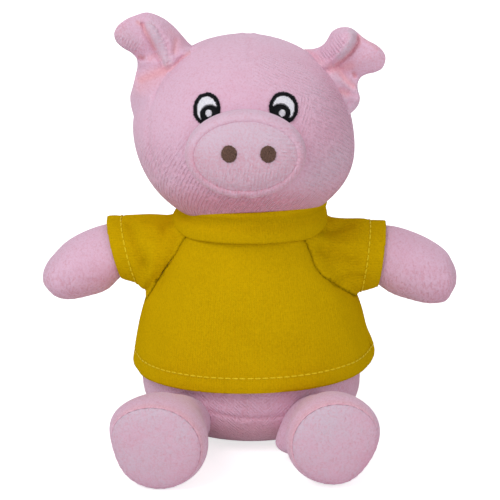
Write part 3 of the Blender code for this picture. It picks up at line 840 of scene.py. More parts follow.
# Ears: two layers of plush each, folded lengthwise where they are sewn in, so that the front edge rolls
# forward over the flap behind it and the tip hangs outward. Outlines, folds and creases are given as
# pixels of the photograph, and depths as metres along Y.
earRight = {
    "centre": (153, 58),
    "outline": [
        (195, 48), (188.5, 42.5), (181.4, 34.4), (173.3, 25.8), (165.2, 19.2), (156, 14.6), (147, 12.3),
        (135.8, 15.1), (123.7, 20.7), (116.6, 27.3), (114, 34), (115.8, 41), (122.7, 47.8), (132.0, 53.4),
        (136.6, 58.7), (137.4, 65), (135.5, 75), (132.6, 87), (130.2, 96), (130.8, 105), (133.0, 114),
        (135.5, 122), (146, 127), (161, 104), (172, 92), (183, 78), (193, 66), (199, 56),
    ],
    "under": [(139, 119), (147, 124), (134, 116)],
    "shade": [([(119, 26), (123, 38), (136, 50)], 8, 0.24)],
    "depths": [
        (195, 48, 0.0060), (183, 38, -0.0015), (165, 21, -0.0035), (147, 14, -0.0050), (126, 22, -0.0085),
        (115, 33, -0.0105), (124, 46, -0.0095), (136, 57, -0.0060), (136, 70, -0.0035), (134, 88, -0.0050),
        (160, 50, -0.0050),
    ],
    "base": [(193, 51), (182, 59), (171, 70), (162, 81), (155, 93), (150, 106), (149, 118)],
    # The rolled front edge: a line of (x, y, reach on the flap's side, height)
    "roll": [
        (150, 21, 6.0, 0.0020), (151.5, 27, 7.6, 0.0034), (155.5, 35, 7.6, 0.0038), (160, 44, 6.8, 0.0036),
        (164, 53, 6.0, 0.0032), (167.5, 61, 4.8, 0.0026), (171, 69, 3.6, 0.0016),
    ],
    "rollSide": -1,
    "ribbed": [(120, 42), (134, 50)],
    "ribbedReach": 9,
    "ribbedWay": 60,
    "rollFall": 15,
    "rise": [
        ([(118, 34), (128, 40), (140, 46)], 11, 11, 0.0012),
        ([(140, 63), (152, 62), (163, 64)], 4.0, 4.0, 0.0010),
        ([(137, 92), (150, 96)], 7, 7, 0.0012),
    ],
    "sink": [
        ([(143.0, 24), (146.0, 32), (151.5, 42), (157, 53), (163, 64)], 2.2, 0.0012),
        ([(176.0, 40), (175.5, 45), (174, 52)], 3.2, 0.0009),
        ([(138, 57.3), (142, 57.8)], 2.6, 0.0016),
        ([(142, 79), (153, 75), (166, 70)], 6.5, 0.0012),
        ([(170.5, 69.5), (181, 59), (194, 49.5)], 2.6, 0.0010),
    ],
    # Painted shade in creases and hollows: a line, its width, how strong
    "tint": [
        ([(138, 22.5), (142.5, 25), (146, 32), (151.5, 42), (155, 49)], 2.3, 0.95),
        ([(175.5, 40), (174, 51)], 3.0, 0.80),
        ([(139.5, 56.6), (143.5, 57.6)], 2.0, 1.0),
        ([(150, 58), (157, 54), (160, 59)], 3.0, 0.45),
        ([(142, 80), (153, 75), (167, 69.5)], 5.5, 1.0),
        ([(140, 88), (156, 80)], 7.0, 0.40),
        ([(170.5, 69), (181, 59), (193, 50)], 2.2, 0.75),
        ([(172, 33), (182, 43)], 6.0, 0.30),
    ],
    "grey": [
        ([(150, 26), (154, 35), (159, 45), (163, 55), (167, 63)], 6.0, 0.85),
        ([(122, 36), (132, 44)], 9, 0.5),
    ],
    "stitches": [(153, 24), (158, 29), (161, 35), (165, 40), (168, 48), (168.5, 57), (170.5, 66)],
}
earLeft = {
    "centre": (346, 66),
    "outline": [
        (304, 49), (310, 49), (317.5, 47.6), (324.4, 43.4), (328.2, 37.5), (331.4, 32.2), (336.8, 28.4),
        (344.3, 26.9), (350.6, 27.7), (356.7, 31.6), (361.3, 35.8), (368, 40.4), (375.8, 44.5), (382, 49.8),
        (385.4, 56), (385, 62.5), (382, 68.5), (375.3, 72.2), (366.5, 74.3), (361, 77.3), (358.2, 82),
        (358, 90), (360, 97.2), (358.8, 104), (353.5, 111), (346, 116), (336, 112), (326, 98), (315, 82),
        (304, 68), (298, 56),
    ],
    "depths": [
        (306, 50, 0.0070), (322, 46, 0.0005), (332, 33, -0.0030), (344, 28, -0.0050), (358, 34, -0.0060),
        (372, 44, -0.0070), (384, 56, -0.0085), (378, 67, -0.0070), (362, 76, -0.0040), (357, 86, -0.0030),
        (358, 100, -0.0040), (345, 58, -0.0045),
    ],
    "under": [],
    "shade": [([(354, 62), (366, 58), (378, 56)], 10, 0.22)],
    "base": [(308, 52), (317, 60), (326, 70), (334, 82), (341, 94), (347, 106)],
    "roll": [
        (349, 28, 6.5, 0.0020), (349.5, 34, 7.5, 0.0036), (347, 41, 7.5, 0.0044), (340.5, 49, 8.5, 0.0044),
        (332, 56, 9.0, 0.0038), (323, 61, 8.5, 0.0028), (314, 59, 6.0, 0.0014),
    ],
    "rollSide": 1,
    "ribbed": [(342, 42), (334, 49), (324, 57)],
    "ribbedReach": 6.5,
    "ribbedWay": -50,
    "rollFall": 15,
    "rise": [
        ([(362, 38), (372, 44), (381, 51)], 4.5, 4.5, 0.0010),
        ([(368, 58), (356, 64)], 10, 10, 0.0012),
        ([(331, 75), (341, 80), (350, 84.5), (356, 90)], 4.5, 4.5, 0.0014),
        ([(352, 99), (350, 106)], 7, 7, 0.0016),
    ],
    "sink": [
        ([(357.5, 36), (357.0, 43), (351.0, 52), (342, 59.5), (333, 65)], 2.2, 0.0014),
        ([(358, 38), (363, 42), (367, 44)], 2.0, 0.0006),
        ([(338, 66), (341, 72), (346, 80), (353, 86)], 3.0, 0.0011),
        ([(353.8, 73.5), (355, 76)], 2.0, 0.0012),
        ([(339.7, 91), (347, 93.5)], 3.4, 0.0008),
        ([(317, 60.5), (305, 50)], 2.4, 0.0010),
    ],
    # Painted shade in creases and hollows: a line, its width, how strong
    "tint": [
        ([(359, 37), (359, 43), (353, 51), (345, 59), (336, 65)], 2.4, 0.95),
        ([(331, 68), (340, 69), (350, 66)], 5.0, 0.80),
        ([(338, 66), (341, 73), (346, 80), (353, 86)], 3.2, 0.80),
        ([(353.6, 73.2), (355, 75.8)], 2.0, 1.0),
        ([(339.7, 91), (347, 93.5)], 3.6, 0.75),
        ([(359, 37), (368, 42), (378, 49)], 1.8, 0.50),
        ([(305, 50), (315, 56), (322, 63)], 4.0, 0.40),
    ],
    "grey": [
        ([(352, 33), (353, 40), (348, 49), (340, 56)], 4.6, 0.85),
        ([(354, 62), (366, 58), (376, 56)], 10, 0.20),
        ([(335, 76), (345, 82), (354, 90)], 6, 0.6),
        ([(348, 98), (352, 106)], 8, 0.6),
    ],
    "stitches": [
        (346.6, 35), (345.6, 39), (343.5, 43.5), (340.5, 47.5), (336.6, 51.6), (333, 55.5), (329.5, 59),
    ],
}
earLook = {
    "thickness": 0.0042, "thinnest": 0.0012, "rimPower": 2.6, "around": 288, "along": 160,
    # How the ear goes on inside the head: pixels inward, and how far behind the skin
    "join": ((0, 0.0014), (11, 0.0080)),
    "underDepth": 0.0055,
}


def lineOfSightAt(x, y, depth):
    # Points on the lines of sight through pixels, at given depths along Y.
    eye = np.array(camera.location)
    turnTo = np.array(camera.matrix_world.to_3x3())
    across, up = fromMiddle(x, y)
    rays = np.column_stack([across, up, np.full(len(across), -shot["distance"])]) @ turnTo.T
    return eye + rays * ((depth - eye[1]) / rays[:, 1])[:, None]


def smoothSurface(stops, x, y):
    # A thin plate through stops of (x, y, value).
    stops = np.array(stops, float)
    places, values = stops[:, :2] / 100, stops[:, 2]

    def bend(distance):
        return distance**2 * np.log(np.maximum(distance, 1e-9))

    count = len(places)
    gaps = np.linalg.norm(places[:, None] - places[None], axis=2)
    flat = np.column_stack([np.ones(count), places])
    system = np.block([[bend(gaps) + np.eye(count) * 0.001, flat], [flat.T, np.zeros((3, 3))]])
    weights = np.linalg.solve(system, np.concatenate([values, np.zeros(3)]))
    at = np.column_stack([x, y]) / 100
    reach = bend(np.linalg.norm(at[:, None] - places[None], axis=2))
    return reach @ weights[:count] + np.column_stack([np.ones(len(at)), at]) @ weights[count:]


def plateau(distance, width):
    return np.exp(-((distance / width) ** 4))


def strongest(x, y, strokes, shape):
    # Of several strokes (path, width, amount), the one that shows most at each point.
    return np.max([amount * shape(stroke(x, y, path)[0], width) for path, width, amount in strokes], axis=0)


def rollHeight(x, y, ear):
    # A rolled edge: round and steep on the flap's side, falling gently on the other.
    stops = np.array(ear["roll"], float)
    line = thickened(stops[:, :2], 80)
    gap, side = stroke(x, y, line)
    along, run = (nearest(at, line)[1] for at in (np.column_stack([x, y]), stops[:, :2]))
    reach, height = np.interp(along, run, stops[:, 2]), np.interp(along, run, stops[:, 3])
    steep = np.sqrt(np.clip(1 - (gap / reach) ** 2, 0, 1))
    steep = np.where(gap > reach * 0.97, 0.24 * bell(gap - reach * 0.97, 1.2), steep)
    gentle = bell(gap, ear["rollFall"])
    return height * np.where(side * ear["rollSide"] > 0, steep, gentle)


def makeEar(name, ear, nodes):
    centre = np.array(ear["centre"], float)
    edge = thickened(ear["outline"] + ear["outline"][:1], 500) - centre
    angles, reaches = np.arctan2(edge[:, 1], edge[:, 0]), np.linalg.norm(edge, axis=1)
    order = np.argsort(angles)
    angles, reaches = angles[order], reaches[order]
    # The ear leaves the head where the seam is, and goes on inside it.
    depths = list(ear["depths"])
    for x, y in ear["base"]:
        for inward, behind in earLook["join"]:
            place = (x + inward * (1 if x < shot["pixels"] / 2 else -1), y + inward * 0.6)
            spot = seen(headTree, *place)
            if spot is not None:
                depths.append((*place, spot.y + behind))
    depths += [(x, y, seen(headTree, x, y).y + earLook["underDepth"]) for x, y in ear["under"]]

    def form(share, turn):
        out = np.sin(share * math.pi) ** 0.8
        reach = np.interp(turn, angles, reaches, period=2 * math.pi) * out
        x = centre[0] + reach * np.cos(turn)
        y = centre[1] + reach * np.sin(turn)
        depth = smoothSurface(depths, x, y)
        full = (1 - out ** earLook["rimPower"]) ** (1 / earLook["rimPower"])
        front = depth - full * earLook["thickness"] / 2
        back = depth + full * earLook["thickness"] / 2
        fade = np.clip((1 - out) * 9, 0, 1)
        roll = rollHeight(x, y, ear) * fade
        front -= roll
        back -= roll * 0.4
        for path, left, right, height in ear["rise"]:
            gap, side = stroke(x, y, path)
            front -= height * bell(gap, np.where(side > 0, left, right)) * fade
            back -= height * 0.5 * bell(gap, (left + right) * 0.8) * fade
        for path, width, height in ear["sink"]:
            front += height * bell(stroke(x, y, path)[0], width) * fade
        back = np.maximum(back, front + earLook["thinnest"])
        return lineOfSightAt(x, y, np.where(share < 0.5, front, back))

    piece = addBag(name, earLook["around"], earLook["along"], form)
    x, y = onPage(readPoints(piece))
    facing = readNormals(piece)[:, 1] < 0.1
    # Painted shade in the forward-facing creases and hollows: deeper pink and warm salmon. Greyer along the
    # grey strokes.
    tint = strongest(x, y, ear["tint"], bell)
    addCreaseShade(piece, np.where(facing, tint * 0.22, 0))
    addCreaseShade(piece, np.where(facing, strongest(x, y, ear["shade"], bell), 0))
    paint(piece, "warmShade", np.where(facing, tint * 0.70, 0))
    paint(piece, "grey", np.where(facing, strongest(x, y, ear["grey"], plateau), 0))
    tree = skinTree(piece)
    seam = thickened(seenPath(tree, ear["stitches"]), 60)
    sewSeam(piece, seam, depth=0.0002, width=0.0007, puff=0.0001, pucker=0.00012, pitch=0.0022, tint=0.12)
    points = readPoints(piece)
    ribbed = bell(stroke(*onPage(points), ear["ribbed"])[0], ear["ribbedReach"])
    show = np.where(facing, ribbed * 0.8, 0.2)
    paintRibs(piece, "rib", points[:, 0], points[:, 2], ear["ribbedWay"], 0.0013, show)
    paint(piece, "mottle", 0.2)
    finishPiece(piece, plush, "head", nodes, sideShade=0.15)


makeEar("earRightPlush", earRight, ["ear_right_front", "ear_right_back"])
makeEar("earLeftPlush", earLeft, ["ear_left_front", "ear_left_back"])
print("ears are sewn")

# Embroidery: every stitch is its own bar of thread, copied from one and laid on the skin
thread = {
    "width": 0.00044, "height": 0.00034, "around": 6, "along": 6,
    "padDepth": 0.0006, "padAround": 48, "padRings": 14,
}


def addStitch(name, material):
    deselect()
    bpy.ops.mesh.primitive_uv_sphere_add(segments=thread["around"], ring_count=thread["along"], radius=0.5)
    stitch = named(name)
    points = readPoints(stitch)[:, [2, 0, 1]]
    points[:, 0] = np.sign(points[:, 0]) * np.abs(points[:, 0] * 2) ** 0.6 / 2
    writePoints(stitch, points)
    stitch.data.materials.append(material)
    faceOutward(stitch)
    return stitch


def layStitches(name, rows, material, body, nodes, extra=()):
    # rows: (start, end, normal, width). The first stitch is copied to every row, and all are joined.
    stitch = addStitch(name, material)
    copies = []
    for start, end, normal, width in rows:
        along = end - start
        length = along.length + width * 0.5
        if length < width:
            continue
        along.normalize()
        across = normal.cross(along).normalized()
        up = along.cross(across)
        place = Matrix.Identity(4)
        scale = (length, width, thread["height"])
        for column, (axis, size) in enumerate(zip((along, across, up), scale)):
            for row in range(3):
                place[row][column] = axis[row] * size
        place.translation = (start + end) / 2
        copy = stitch.copy()
        copy.data = stitch.data.copy()
        copy.data.transform(place)
        scene.collection.objects.link(copy)
        copies.append(copy)
    bpy.data.objects.remove(stitch)
    deselect()
    for copy in [*copies, *extra]:
        copy.select_set(True)
    bpy.context.view_layer.objects.active = copies[0]
    bpy.ops.object.join()
    piece = named(name)
    finishPiece(piece, material, body, nodes)
    return piece


def onSkin(tree, x, y, lift):
    start, ray = sight(x, y)
    place, normal, _, _ = tree.ray_cast(start, ray)
    if place is None:
        return None, None
    return place + normal * lift, normal


def addPad(tree, centre, outline, lift, material):
    # A thin pad of filling stitches under the visible ones, closed, following the skin.
    edge = np.array(outline, float) - centre
    turns = np.arctan2(edge[:, 1], edge[:, 0])
    order = np.argsort(turns)
    reaches = np.linalg.norm(edge, axis=1)

    def form(share, turn):
        out = np.sin(share * math.pi)
        reach = np.interp(turn, turns[order], reaches[order], period=2 * math.pi) * out
        points = []
        for r, a, o, s in zip(reach, turn, out, share):
            x, y = centre[0] + r * math.cos(a), centre[1] + r * math.sin(a)
            height = (lift if s < 0.5 else -thread["padDepth"]) * (1 - o**4) ** 0.5
            points.append(onSkin(tree, x, y, height)[0])
        return np.array(points)

    pad = addBag("pad", thread["padAround"], thread["padRings"], form)
    pad.data.materials.append(material)
    return pad


def ring(centre, halfWidth, halfHeight, count=48, tilt=0.0):
    turn = np.linspace(0, 2 * math.pi, count, endpoint=False)
    x, y = halfWidth * np.cos(turn), halfHeight * np.sin(turn)
    c, s = math.cos(tilt), math.sin(tilt)
    return np.column_stack([centre[0] + x * c - y * s, centre[1] + x * s + y * c])


def acrossShape(outline, angle, pitch, jitter, rng):
    # Parallel chords of a shape, as pixel pairs.
    along = np.array((math.cos(angle), math.sin(angle)))
    over = np.array((-along[1], along[0]))
    a, b = outline @ along, outline @ over
    rows = []
    for level in np.arange(b.min() + pitch / 2, b.max(), pitch):
        cuts = []
        for i in range(len(outline)):
            j = (i + 1) % len(outline)
            if (b[i] - level) * (b[j] - level) < 0:
                t = (level - b[i]) / (b[j] - b[i])
                cuts.append(a[i] + t * (a[j] - a[i]))
        if len(cuts) >= 2:
            low, high = min(cuts) - rng.uniform(0, jitter), max(cuts) + rng.uniform(0, jitter)
            rows.append((along * low + over * level, along * high + over * level))
    return rows


def laidOn(tree, pixelRows, lift):
    rows = []
    for start, end in pixelRows:
        a, normalA = onSkin(tree, *start, lift)
        b, normalB = onSkin(tree, *end, lift)
        if a is not None and b is not None and (a - b).length < 0.02:
            rows.append((a, b, (normalA + normalB).normalized(), thread["width"]))
    return rows


eyes = {
    "Right": {
        "centre": (207.1, 109.2), "half": (13.2, 15.9), "tilt": 0.10,
        "pupil": (210.5, 114.6), "glint": (209.4, 113.7),
    },
    "Left": {
        "centre": (283.3, 108.0), "half": (14.1, 15.5), "tilt": -0.10,
        "pupil": (279.9, 113.6), "glint": (281.6, 113.5),
    },
}
# Sizes in pixels, the lift in metres, and how many lifts the pads and the stitches lie over the skin
eyeLook = {
    "outline": 3.4, "pupil": 9.9, "glint": 3.0, "pitch": 0.98, "whiteCount": 74, "blackCount": 104,
    "lift": 0.00020, "whitePad": 2.0, "pupilPad": 3.2,
    "white": 2.2, "black": 2.4, "pupilRows": 3.4, "glintRows": 4.6,
}


def makeEye(label, eye, rng):
    inset, wide, high = eyeLook["outline"], *eye["half"]
    outer = ring(eye["centre"], wide, high, 96, eye["tilt"])
    inner = ring(eye["centre"], wide - inset, high - inset, 96, eye["tilt"])
    pupil = ring(eye["pupil"], eyeLook["pupil"], eyeLook["pupil"])
    glint = ring(eye["glint"], eyeLook["glint"], eyeLook["glint"] * 1.1)
    black, white = threads["blackThread"], threads["whiteThread"]

    def pad(centre, outline, lifts, material):
        return addPad(headTree, centre, outline, eyeLook["lift"] * lifts, material)

    def laid(rows, lifts):
        return laidOn(headTree, rows, eyeLook["lift"] * eyeLook[lifts])

    base = pad(eye["centre"], outer, 1, black)
    field = pad(eye["centre"], inner, eyeLook["whitePad"], white)
    disc = pad(eye["pupil"], pupil, eyeLook["pupilPad"], black)
    # The white fans out from the pupil, the outline crosses the edge, the pupil runs up and down.
    whiteRows, blackRows = [], []
    within = (wide - inset * 0.7, high - inset * 0.7)
    for spot in ring(eye["centre"], *within, eyeLook["whiteCount"], eye["tilt"]):
        toward = np.array(eye["pupil"]) - spot
        reach = np.linalg.norm(toward)
        if reach > eyeLook["pupil"] + 1.5:
            whiteRows.append((spot + toward * (1 - (eyeLook["pupil"] - rng.uniform(0.2, 1.0)) / reach), spot))
    for spot in ring(eye["centre"], wide, high, eyeLook["blackCount"], eye["tilt"]):
        toward = np.array(eye["centre"]) - spot
        toward /= np.linalg.norm(toward)
        slant = np.array((-toward[1], toward[0])) * 0.9
        outward, inward = rng.uniform(-0.2, 0.9), inset + rng.uniform(-0.2, 0.9)
        blackRows.append((spot - toward * outward, spot + toward * inward + slant))
    pupilRows = acrossShape(pupil, math.radians(84), eyeLook["pitch"], 0.5, rng)
    glintRows = acrossShape(glint, math.radians(20), eyeLook["pitch"], 0.4, rng)
    blackStitches = laid(blackRows, "black") + laid(pupilRows, "pupilRows")
    for part, rows, material, slotName, pads in (
        ("Black", blackStitches, black, "black_thread", [base, disc]),
        ("White", laid(whiteRows, "white"), white, "white_thread", [field]),
        ("Glint", laid(glintRows, "glintRows"), white, "white_thread", []),
    ):
        node = f"eye_{label}_{part}".lower()
        layStitches(f"eye{label}{part}", rows, material, "head", [node], pads)


nostrils = {"Right": (229.1, 153.9), "Left": (268.1, 154.2)}
nostrilLook = {
    "halfWidth": 7.7, "halfHeight": 8.3, "pitch": 0.95, "angle": 35, "padLift": 0.00028, "lift": 0.00034,
}


def makeNostril(label, centre, rng):
    tree = skinTree(snoutPanel)
    edge = ring(centre, nostrilLook["halfWidth"], nostrilLook["halfHeight"])
    brown = threads["brownThread"]
    pad = addPad(tree, centre, edge, nostrilLook["padLift"], brown)
    rows = []
    for start, end in acrossShape(edge, math.radians(nostrilLook["angle"]), nostrilLook["pitch"], 0.7, rng):
        # Each row is two or three stitches, with their ends staggered.
        cuts = [0, rng.uniform(0.25, 0.45), rng.uniform(0.55, 0.8), 1]
        for a, b in zip(cuts[:-1], cuts[1:]):
            rows.append((start + (end - start) * a, start + (end - start) * b))
    node = f"nostril_{label.lower()}"
    laid = laidOn(tree, rows, nostrilLook["lift"])
    layStitches(f"nostril{label}", laid, brown, "head", [node], [pad])


rng = np.random.default_rng(7)
for label, eye in eyes.items():
    makeEye(label, eye, rng)
for label, centre in nostrils.items():
    makeNostril(label, centre, rng)
print("face is embroidered")

# Torso: a bottom-heavy bag, drawn in to the neck
torso = {
    "middle": 0.0014,
    "halfWidth": 0.0450,
    "halfDepth": 0.0385,
    "bellyHeight": 0.0260,
    "neckHalfWidth": 0.0215,
    "top": 0.0887,
    "seatFullness": 3.0,
    "risePower": 2.2,
    "fallPower": 1.4,
    # The belly's seam as pixels of the photograph, the others as two heights and a count of points
    "bellySeam": [(186, 402), (205, 410), (225, 416), (245, 418.5), (268, 418), (290, 415), (310, 408)],
    "frontSeam": (0.060, 0.017, 20),
    "frontSeamAside": -0.0012,
    "backSeam": (0.080, 0.004, 30),
    "sideSeam": (0.070, 0.006, 30),
    # How far under the seat the bag would reach, before it is flattened there
    "under": 0.0005,
    "ribPitch": 0.0012,
}


def torsoRise(height):
    # 0 at the belly's widest height, 1 at the neck.
    return np.clip((height - torso["bellyHeight"]) / (torso["top"] - torso["bellyHeight"]), 0, 1)


def torsoRadius(height):
    below = np.clip((torso["bellyHeight"] - height) / (torso["bellyHeight"] + torso["under"]), 0, 1)
    full = torso["seatFullness"]
    lower = torso["halfWidth"] * (1 - below**full) ** (1 / full)
    swell = (1 - torsoRise(height) ** torso["risePower"]) ** (1 / torso["fallPower"])
    upper = torso["neckHalfWidth"] + (torso["halfWidth"] - torso["neckHalfWidth"]) * swell
    return np.where(height < torso["bellyHeight"], lower, upper)


def torsoForm(share, turn):
    # Closer rings where the outline turns fast, at the seat and at the neck.
    level = (1 - np.cos(share * math.pi)) / 2
    height = -torso["under"] + (torso["top"] + torso["under"]) * level
    radius = torsoRadius(height) * np.clip(np.sin(np.clip(share, 0, 1) * math.pi) * 6, 0, 1) ** 0.5
    flat = torso["halfDepth"] / torso["halfWidth"]
    deep = flat + (1 - flat) * torsoRise(height) ** 2
    points = np.column_stack([radius * np.cos(turn), radius * deep * np.sin(turn), height])
    points[:, 0] += torso["middle"] * np.clip(1.3 - height / 0.06, 0, 1)
    points[:, 2] = np.maximum(points[:, 2], 0.0)
    return points


def makeTorso():
    piece = addBag("torsoPlush", 288, 160, torsoForm)
    tree = skinTree(piece)
    belly = thickened(seenPath(tree, torso["bellySeam"]), 60)
    sewSeam(piece, belly, depth=0.0004, width=0.0008, puff=0.0001, pucker=0.00006, tint=0.22)

    def upright(key, start, way):
        return [hit(tree, (*start, z), way) for z in np.linspace(*torso[key])]

    front = upright("frontSeam", (torso["frontSeamAside"], -farOff), (0, 1, 0))
    sewSeam(piece, front, depth=0.0004, width=0.0010, puff=0.0001, pucker=0.00004, tint=0.15)
    sewSeam(piece, upright("backSeam", (0, farOff), (0, -1, 0)), tint=0.35)
    for side in (-1, 1):
        sewSeam(piece, upright("sideSeam", (farOff * side, 0), (-side, 0, 0)), tint=0.30)
    points = readPoints(piece)
    across = np.arctan2(points[:, 0], -points[:, 1]) * torso["halfWidth"]
    behind = ramp(points[:, 1], 0.0, 0.02)
    pitch = torso["ribPitch"]
    paintRibs(piece, "rib", across, points[:, 2], -38, pitch, np.where(across < 0.008, 0.55, 0.0))
    paintRibs(piece, "ribB", across, points[:, 2], 40, pitch, np.where(across < 0.008, 0.0, 0.50))
    paint(piece, "mottle", 0.2 + 0.2 * behind)
    # A warm salmon painted in the shade low in front, between the legs; above it the pink a little deeper.
    low = 1 - ramp(points[:, 2], 0.009, 0.020)
    paint(piece, "warmShade", 0.45 * low * (1 - behind))
    addCreaseShade(piece, 0.12 * (1 - low) * (1 - behind))
    finishPiece(piece, plush, "torso", ["torso_cover", "torso_filling"], sideShade=0.6)


makeTorso()
print("torso is sewn")

# Legs: stuffed along a bent middle line
legs = {
    "hip": (0.0262, -0.0365, 0.0146),
    "instep": (0.0330, -0.0540, 0.0182),
    "soleLeft": (0.0344, -0.0700, 0.0186),
    "soleRight": (0.0353, -0.0720, 0.0180),
    "hipRadius": 0.0113,
    "footHalfWidth": 0.0191,
    "footHalfHeight": 0.0180,
    "soleDome": 0.0040,
    "seamShare": 0.875,
    # How far the feet stay off the surface below
    "lift": 0.0002,
    # Where each leg is fuller or flatter: a place, how far it reaches, and the way it moves
    "shapeRight": [
        ((-0.0520, -0.0620, 0.0290), 0.015, (-0.0022, 0, 0.0008)),
        ((-0.0570, -0.0680, 0.0140), 0.011, (0.0016, 0, 0)),
    ],
    "shapeLeft": [
        ((0.0530, -0.0660, 0.0070), 0.014, (-0.0032, 0, 0.0004)),
        ((0.0340, -0.0700, 0.0010), 0.014, (0, 0, 0.0006)),
        ((0.0150, -0.0430, 0.0060), 0.009, (-0.0080, -0.0020, -0.0015)),
    ],
}


def limbPoints(curve, side, stations, share, turn):
    # stations: (share of the bag, share along the curve, distance past it, half across, half up)
    start, middle, end = (np.array(point) * (side, 1, 1) for point in curve)
    along, past, across, up = follow(stations, share).T
    s = np.clip(along, 0, 1)[:, None]
    centre = start * (1 - s) ** 2 + middle * 2 * s * (1 - s) + end * s**2
    direction = (middle - start) * (1 - s) + (end - middle) * s
    direction /= np.linalg.norm(direction, axis=1)[:, None]
    level = np.cross(direction, (0, 0, 1))
    level /= np.linalg.norm(level, axis=1)[:, None]
    high = np.cross(level, direction)
    centre = centre + direction * past[:, None]
    centre = centre + level * (np.maximum(across, 0) * np.cos(turn))[:, None]
    return centre + high * (np.maximum(up, 0) * np.sin(turn))[:, None]


# Arms: stuffed straight outward
arms = {
    # How strongly each arm's side away from the light is painted in shade
    "sideShade": {"Right": 0.8, "Left": 0.9},
    # The seam in front and below: its turn round the arm, then two shares of the bag and a count of points
    "seamTurn": -1.75,
    "seam": (0.24, 0.93, 40),
    # share of the bag, distance from the middle, top, bottom, half depth
    "Right": [
        (0.00, 0.0265, 0.0780, 0.0780, 0),
        (0.06, 0.0272, 0.0820, 0.0740, 0.0042),
        (0.13, 0.0300, 0.0855, 0.0705, 0.0077),
        (0.20, 0.0350, 0.0868, 0.0690, 0.0090),
        (0.30, 0.0420, 0.0870, 0.0678, 0.0102),
        (0.42, 0.0480, 0.0871, 0.0672, 0.0112),
        (0.50, 0.0520, 0.0873, 0.0657, 0.0118),
        (0.56, 0.0570, 0.0870, 0.0606, 0.0124),
        (0.66, 0.0660, 0.0842, 0.0571, 0.0127),
        (0.77, 0.0750, 0.0790, 0.0558, 0.0118),
        (0.84, 0.0793, 0.0746, 0.0572, 0.0102),
        (0.91, 0.0824, 0.0708, 0.0603, 0.0074),
        (0.96, 0.0839, 0.0678, 0.0624, 0.0040),
        (1.00, 0.0845, 0.0650, 0.0650, 0),
    ],
    "Left": [
        (0.00, 0.0265, 0.0780, 0.0780, 0),
        (0.06, 0.0272, 0.0820, 0.0740, 0.0042),
        (0.13, 0.0300, 0.0855, 0.0705, 0.0077),
        (0.20, 0.0350, 0.0866, 0.0690, 0.0090),
        (0.30, 0.0420, 0.0864, 0.0672, 0.0102),
        (0.42, 0.0490, 0.0862, 0.0648, 0.0112),
        (0.50, 0.0535, 0.0864, 0.0621, 0.0120),
        (0.56, 0.0580, 0.0862, 0.0589, 0.0127),
        (0.66, 0.0656, 0.0843, 0.0560, 0.0132),
        (0.77, 0.0754, 0.0798, 0.0540, 0.0124),
        (0.84, 0.0810, 0.0757, 0.0549, 0.0106),
        (0.91, 0.0838, 0.0714, 0.0590, 0.0077),
        (0.96, 0.0853, 0.0680, 0.0621, 0.0042),
        (1.00, 0.0858, 0.0650, 0.0650, 0),
    ],
}


def makeArm(label, side):
    def form(share, turn):
        away, top, bottom, deep = follow(arms[label], share).T
        high = (top + bottom) / 2 + np.maximum(top - bottom, 0) / 2 * np.sin(turn)
        return np.column_stack([away * side, np.maximum(deep, 0) * np.cos(turn), high])

    piece = addBag(f"arm{label}Plush", 96, 120, form)
    along = np.linspace(*arms["seam"])
    seam = form(along, np.full_like(along, arms["seamTurn"]))
    sewSeam(piece, seam, depth=0.0005, width=0.0008, puff=0.0002, tint=0.25)
    paint(piece, "mottle", 0.35 + 0.65 * ramp(-readPoints(piece)[:, 2], -0.078, -0.062))
    body = f"arm_{label.lower()}"
    sideShade = arms["sideShade"][label]
    finishPiece(piece, plush, body, [f"{body}_cover", f"{body}_filling"], sideShade)


def legStations():
    wide, high, ball = legs["footHalfWidth"], legs["footHalfHeight"], legs["hipRadius"]
    return [
        (0.00, 0, -ball, 0, 0),
        (0.06, 0, -ball * 0.88, ball * 0.47, ball * 0.47),
        (0.13, 0, -ball * 0.5, ball * 0.86, ball * 0.86),
        (0.20, 0, 0, ball, ball),
        (0.30, 0.20, 0, wide * 0.64, wide * 0.68),
        (0.40, 0.38, 0, wide * 0.75, high * 0.82),
        (0.52, 0.58, 0, wide * 0.90, high * 0.95),
        (0.66, 0.80, 0, wide, high),
        (0.78, 0.94, 0, wide * 0.965, high * 0.965),
        (0.86, 1.0, 0.0004, wide * 0.908, high * 0.908),
        (0.91, 1.0, -0.0009, wide * 0.84, high * 0.84),
        (1.00, 1.0, -0.0014, 0, 0),
    ]


def soleStations():
    wide, high, dome = legs["footHalfWidth"], legs["footHalfHeight"], legs["soleDome"]
    return [
        (0.00, 1, -0.0011, 0, 0),
        (0.14, 1, -0.0010, wide * 0.84, high * 0.84),
        (0.22, 1, 0.0004, wide * 0.903, high * 0.903),
        (0.32, 1, dome * 0.35, wide * 0.866, high * 0.866),
        (0.48, 1, dome * 0.68, wide * 0.68, high * 0.68),
        (0.70, 1, dome * 0.90, wide * 0.38, high * 0.38),
        (1.00, 1, dome, 0, 0),
    ]


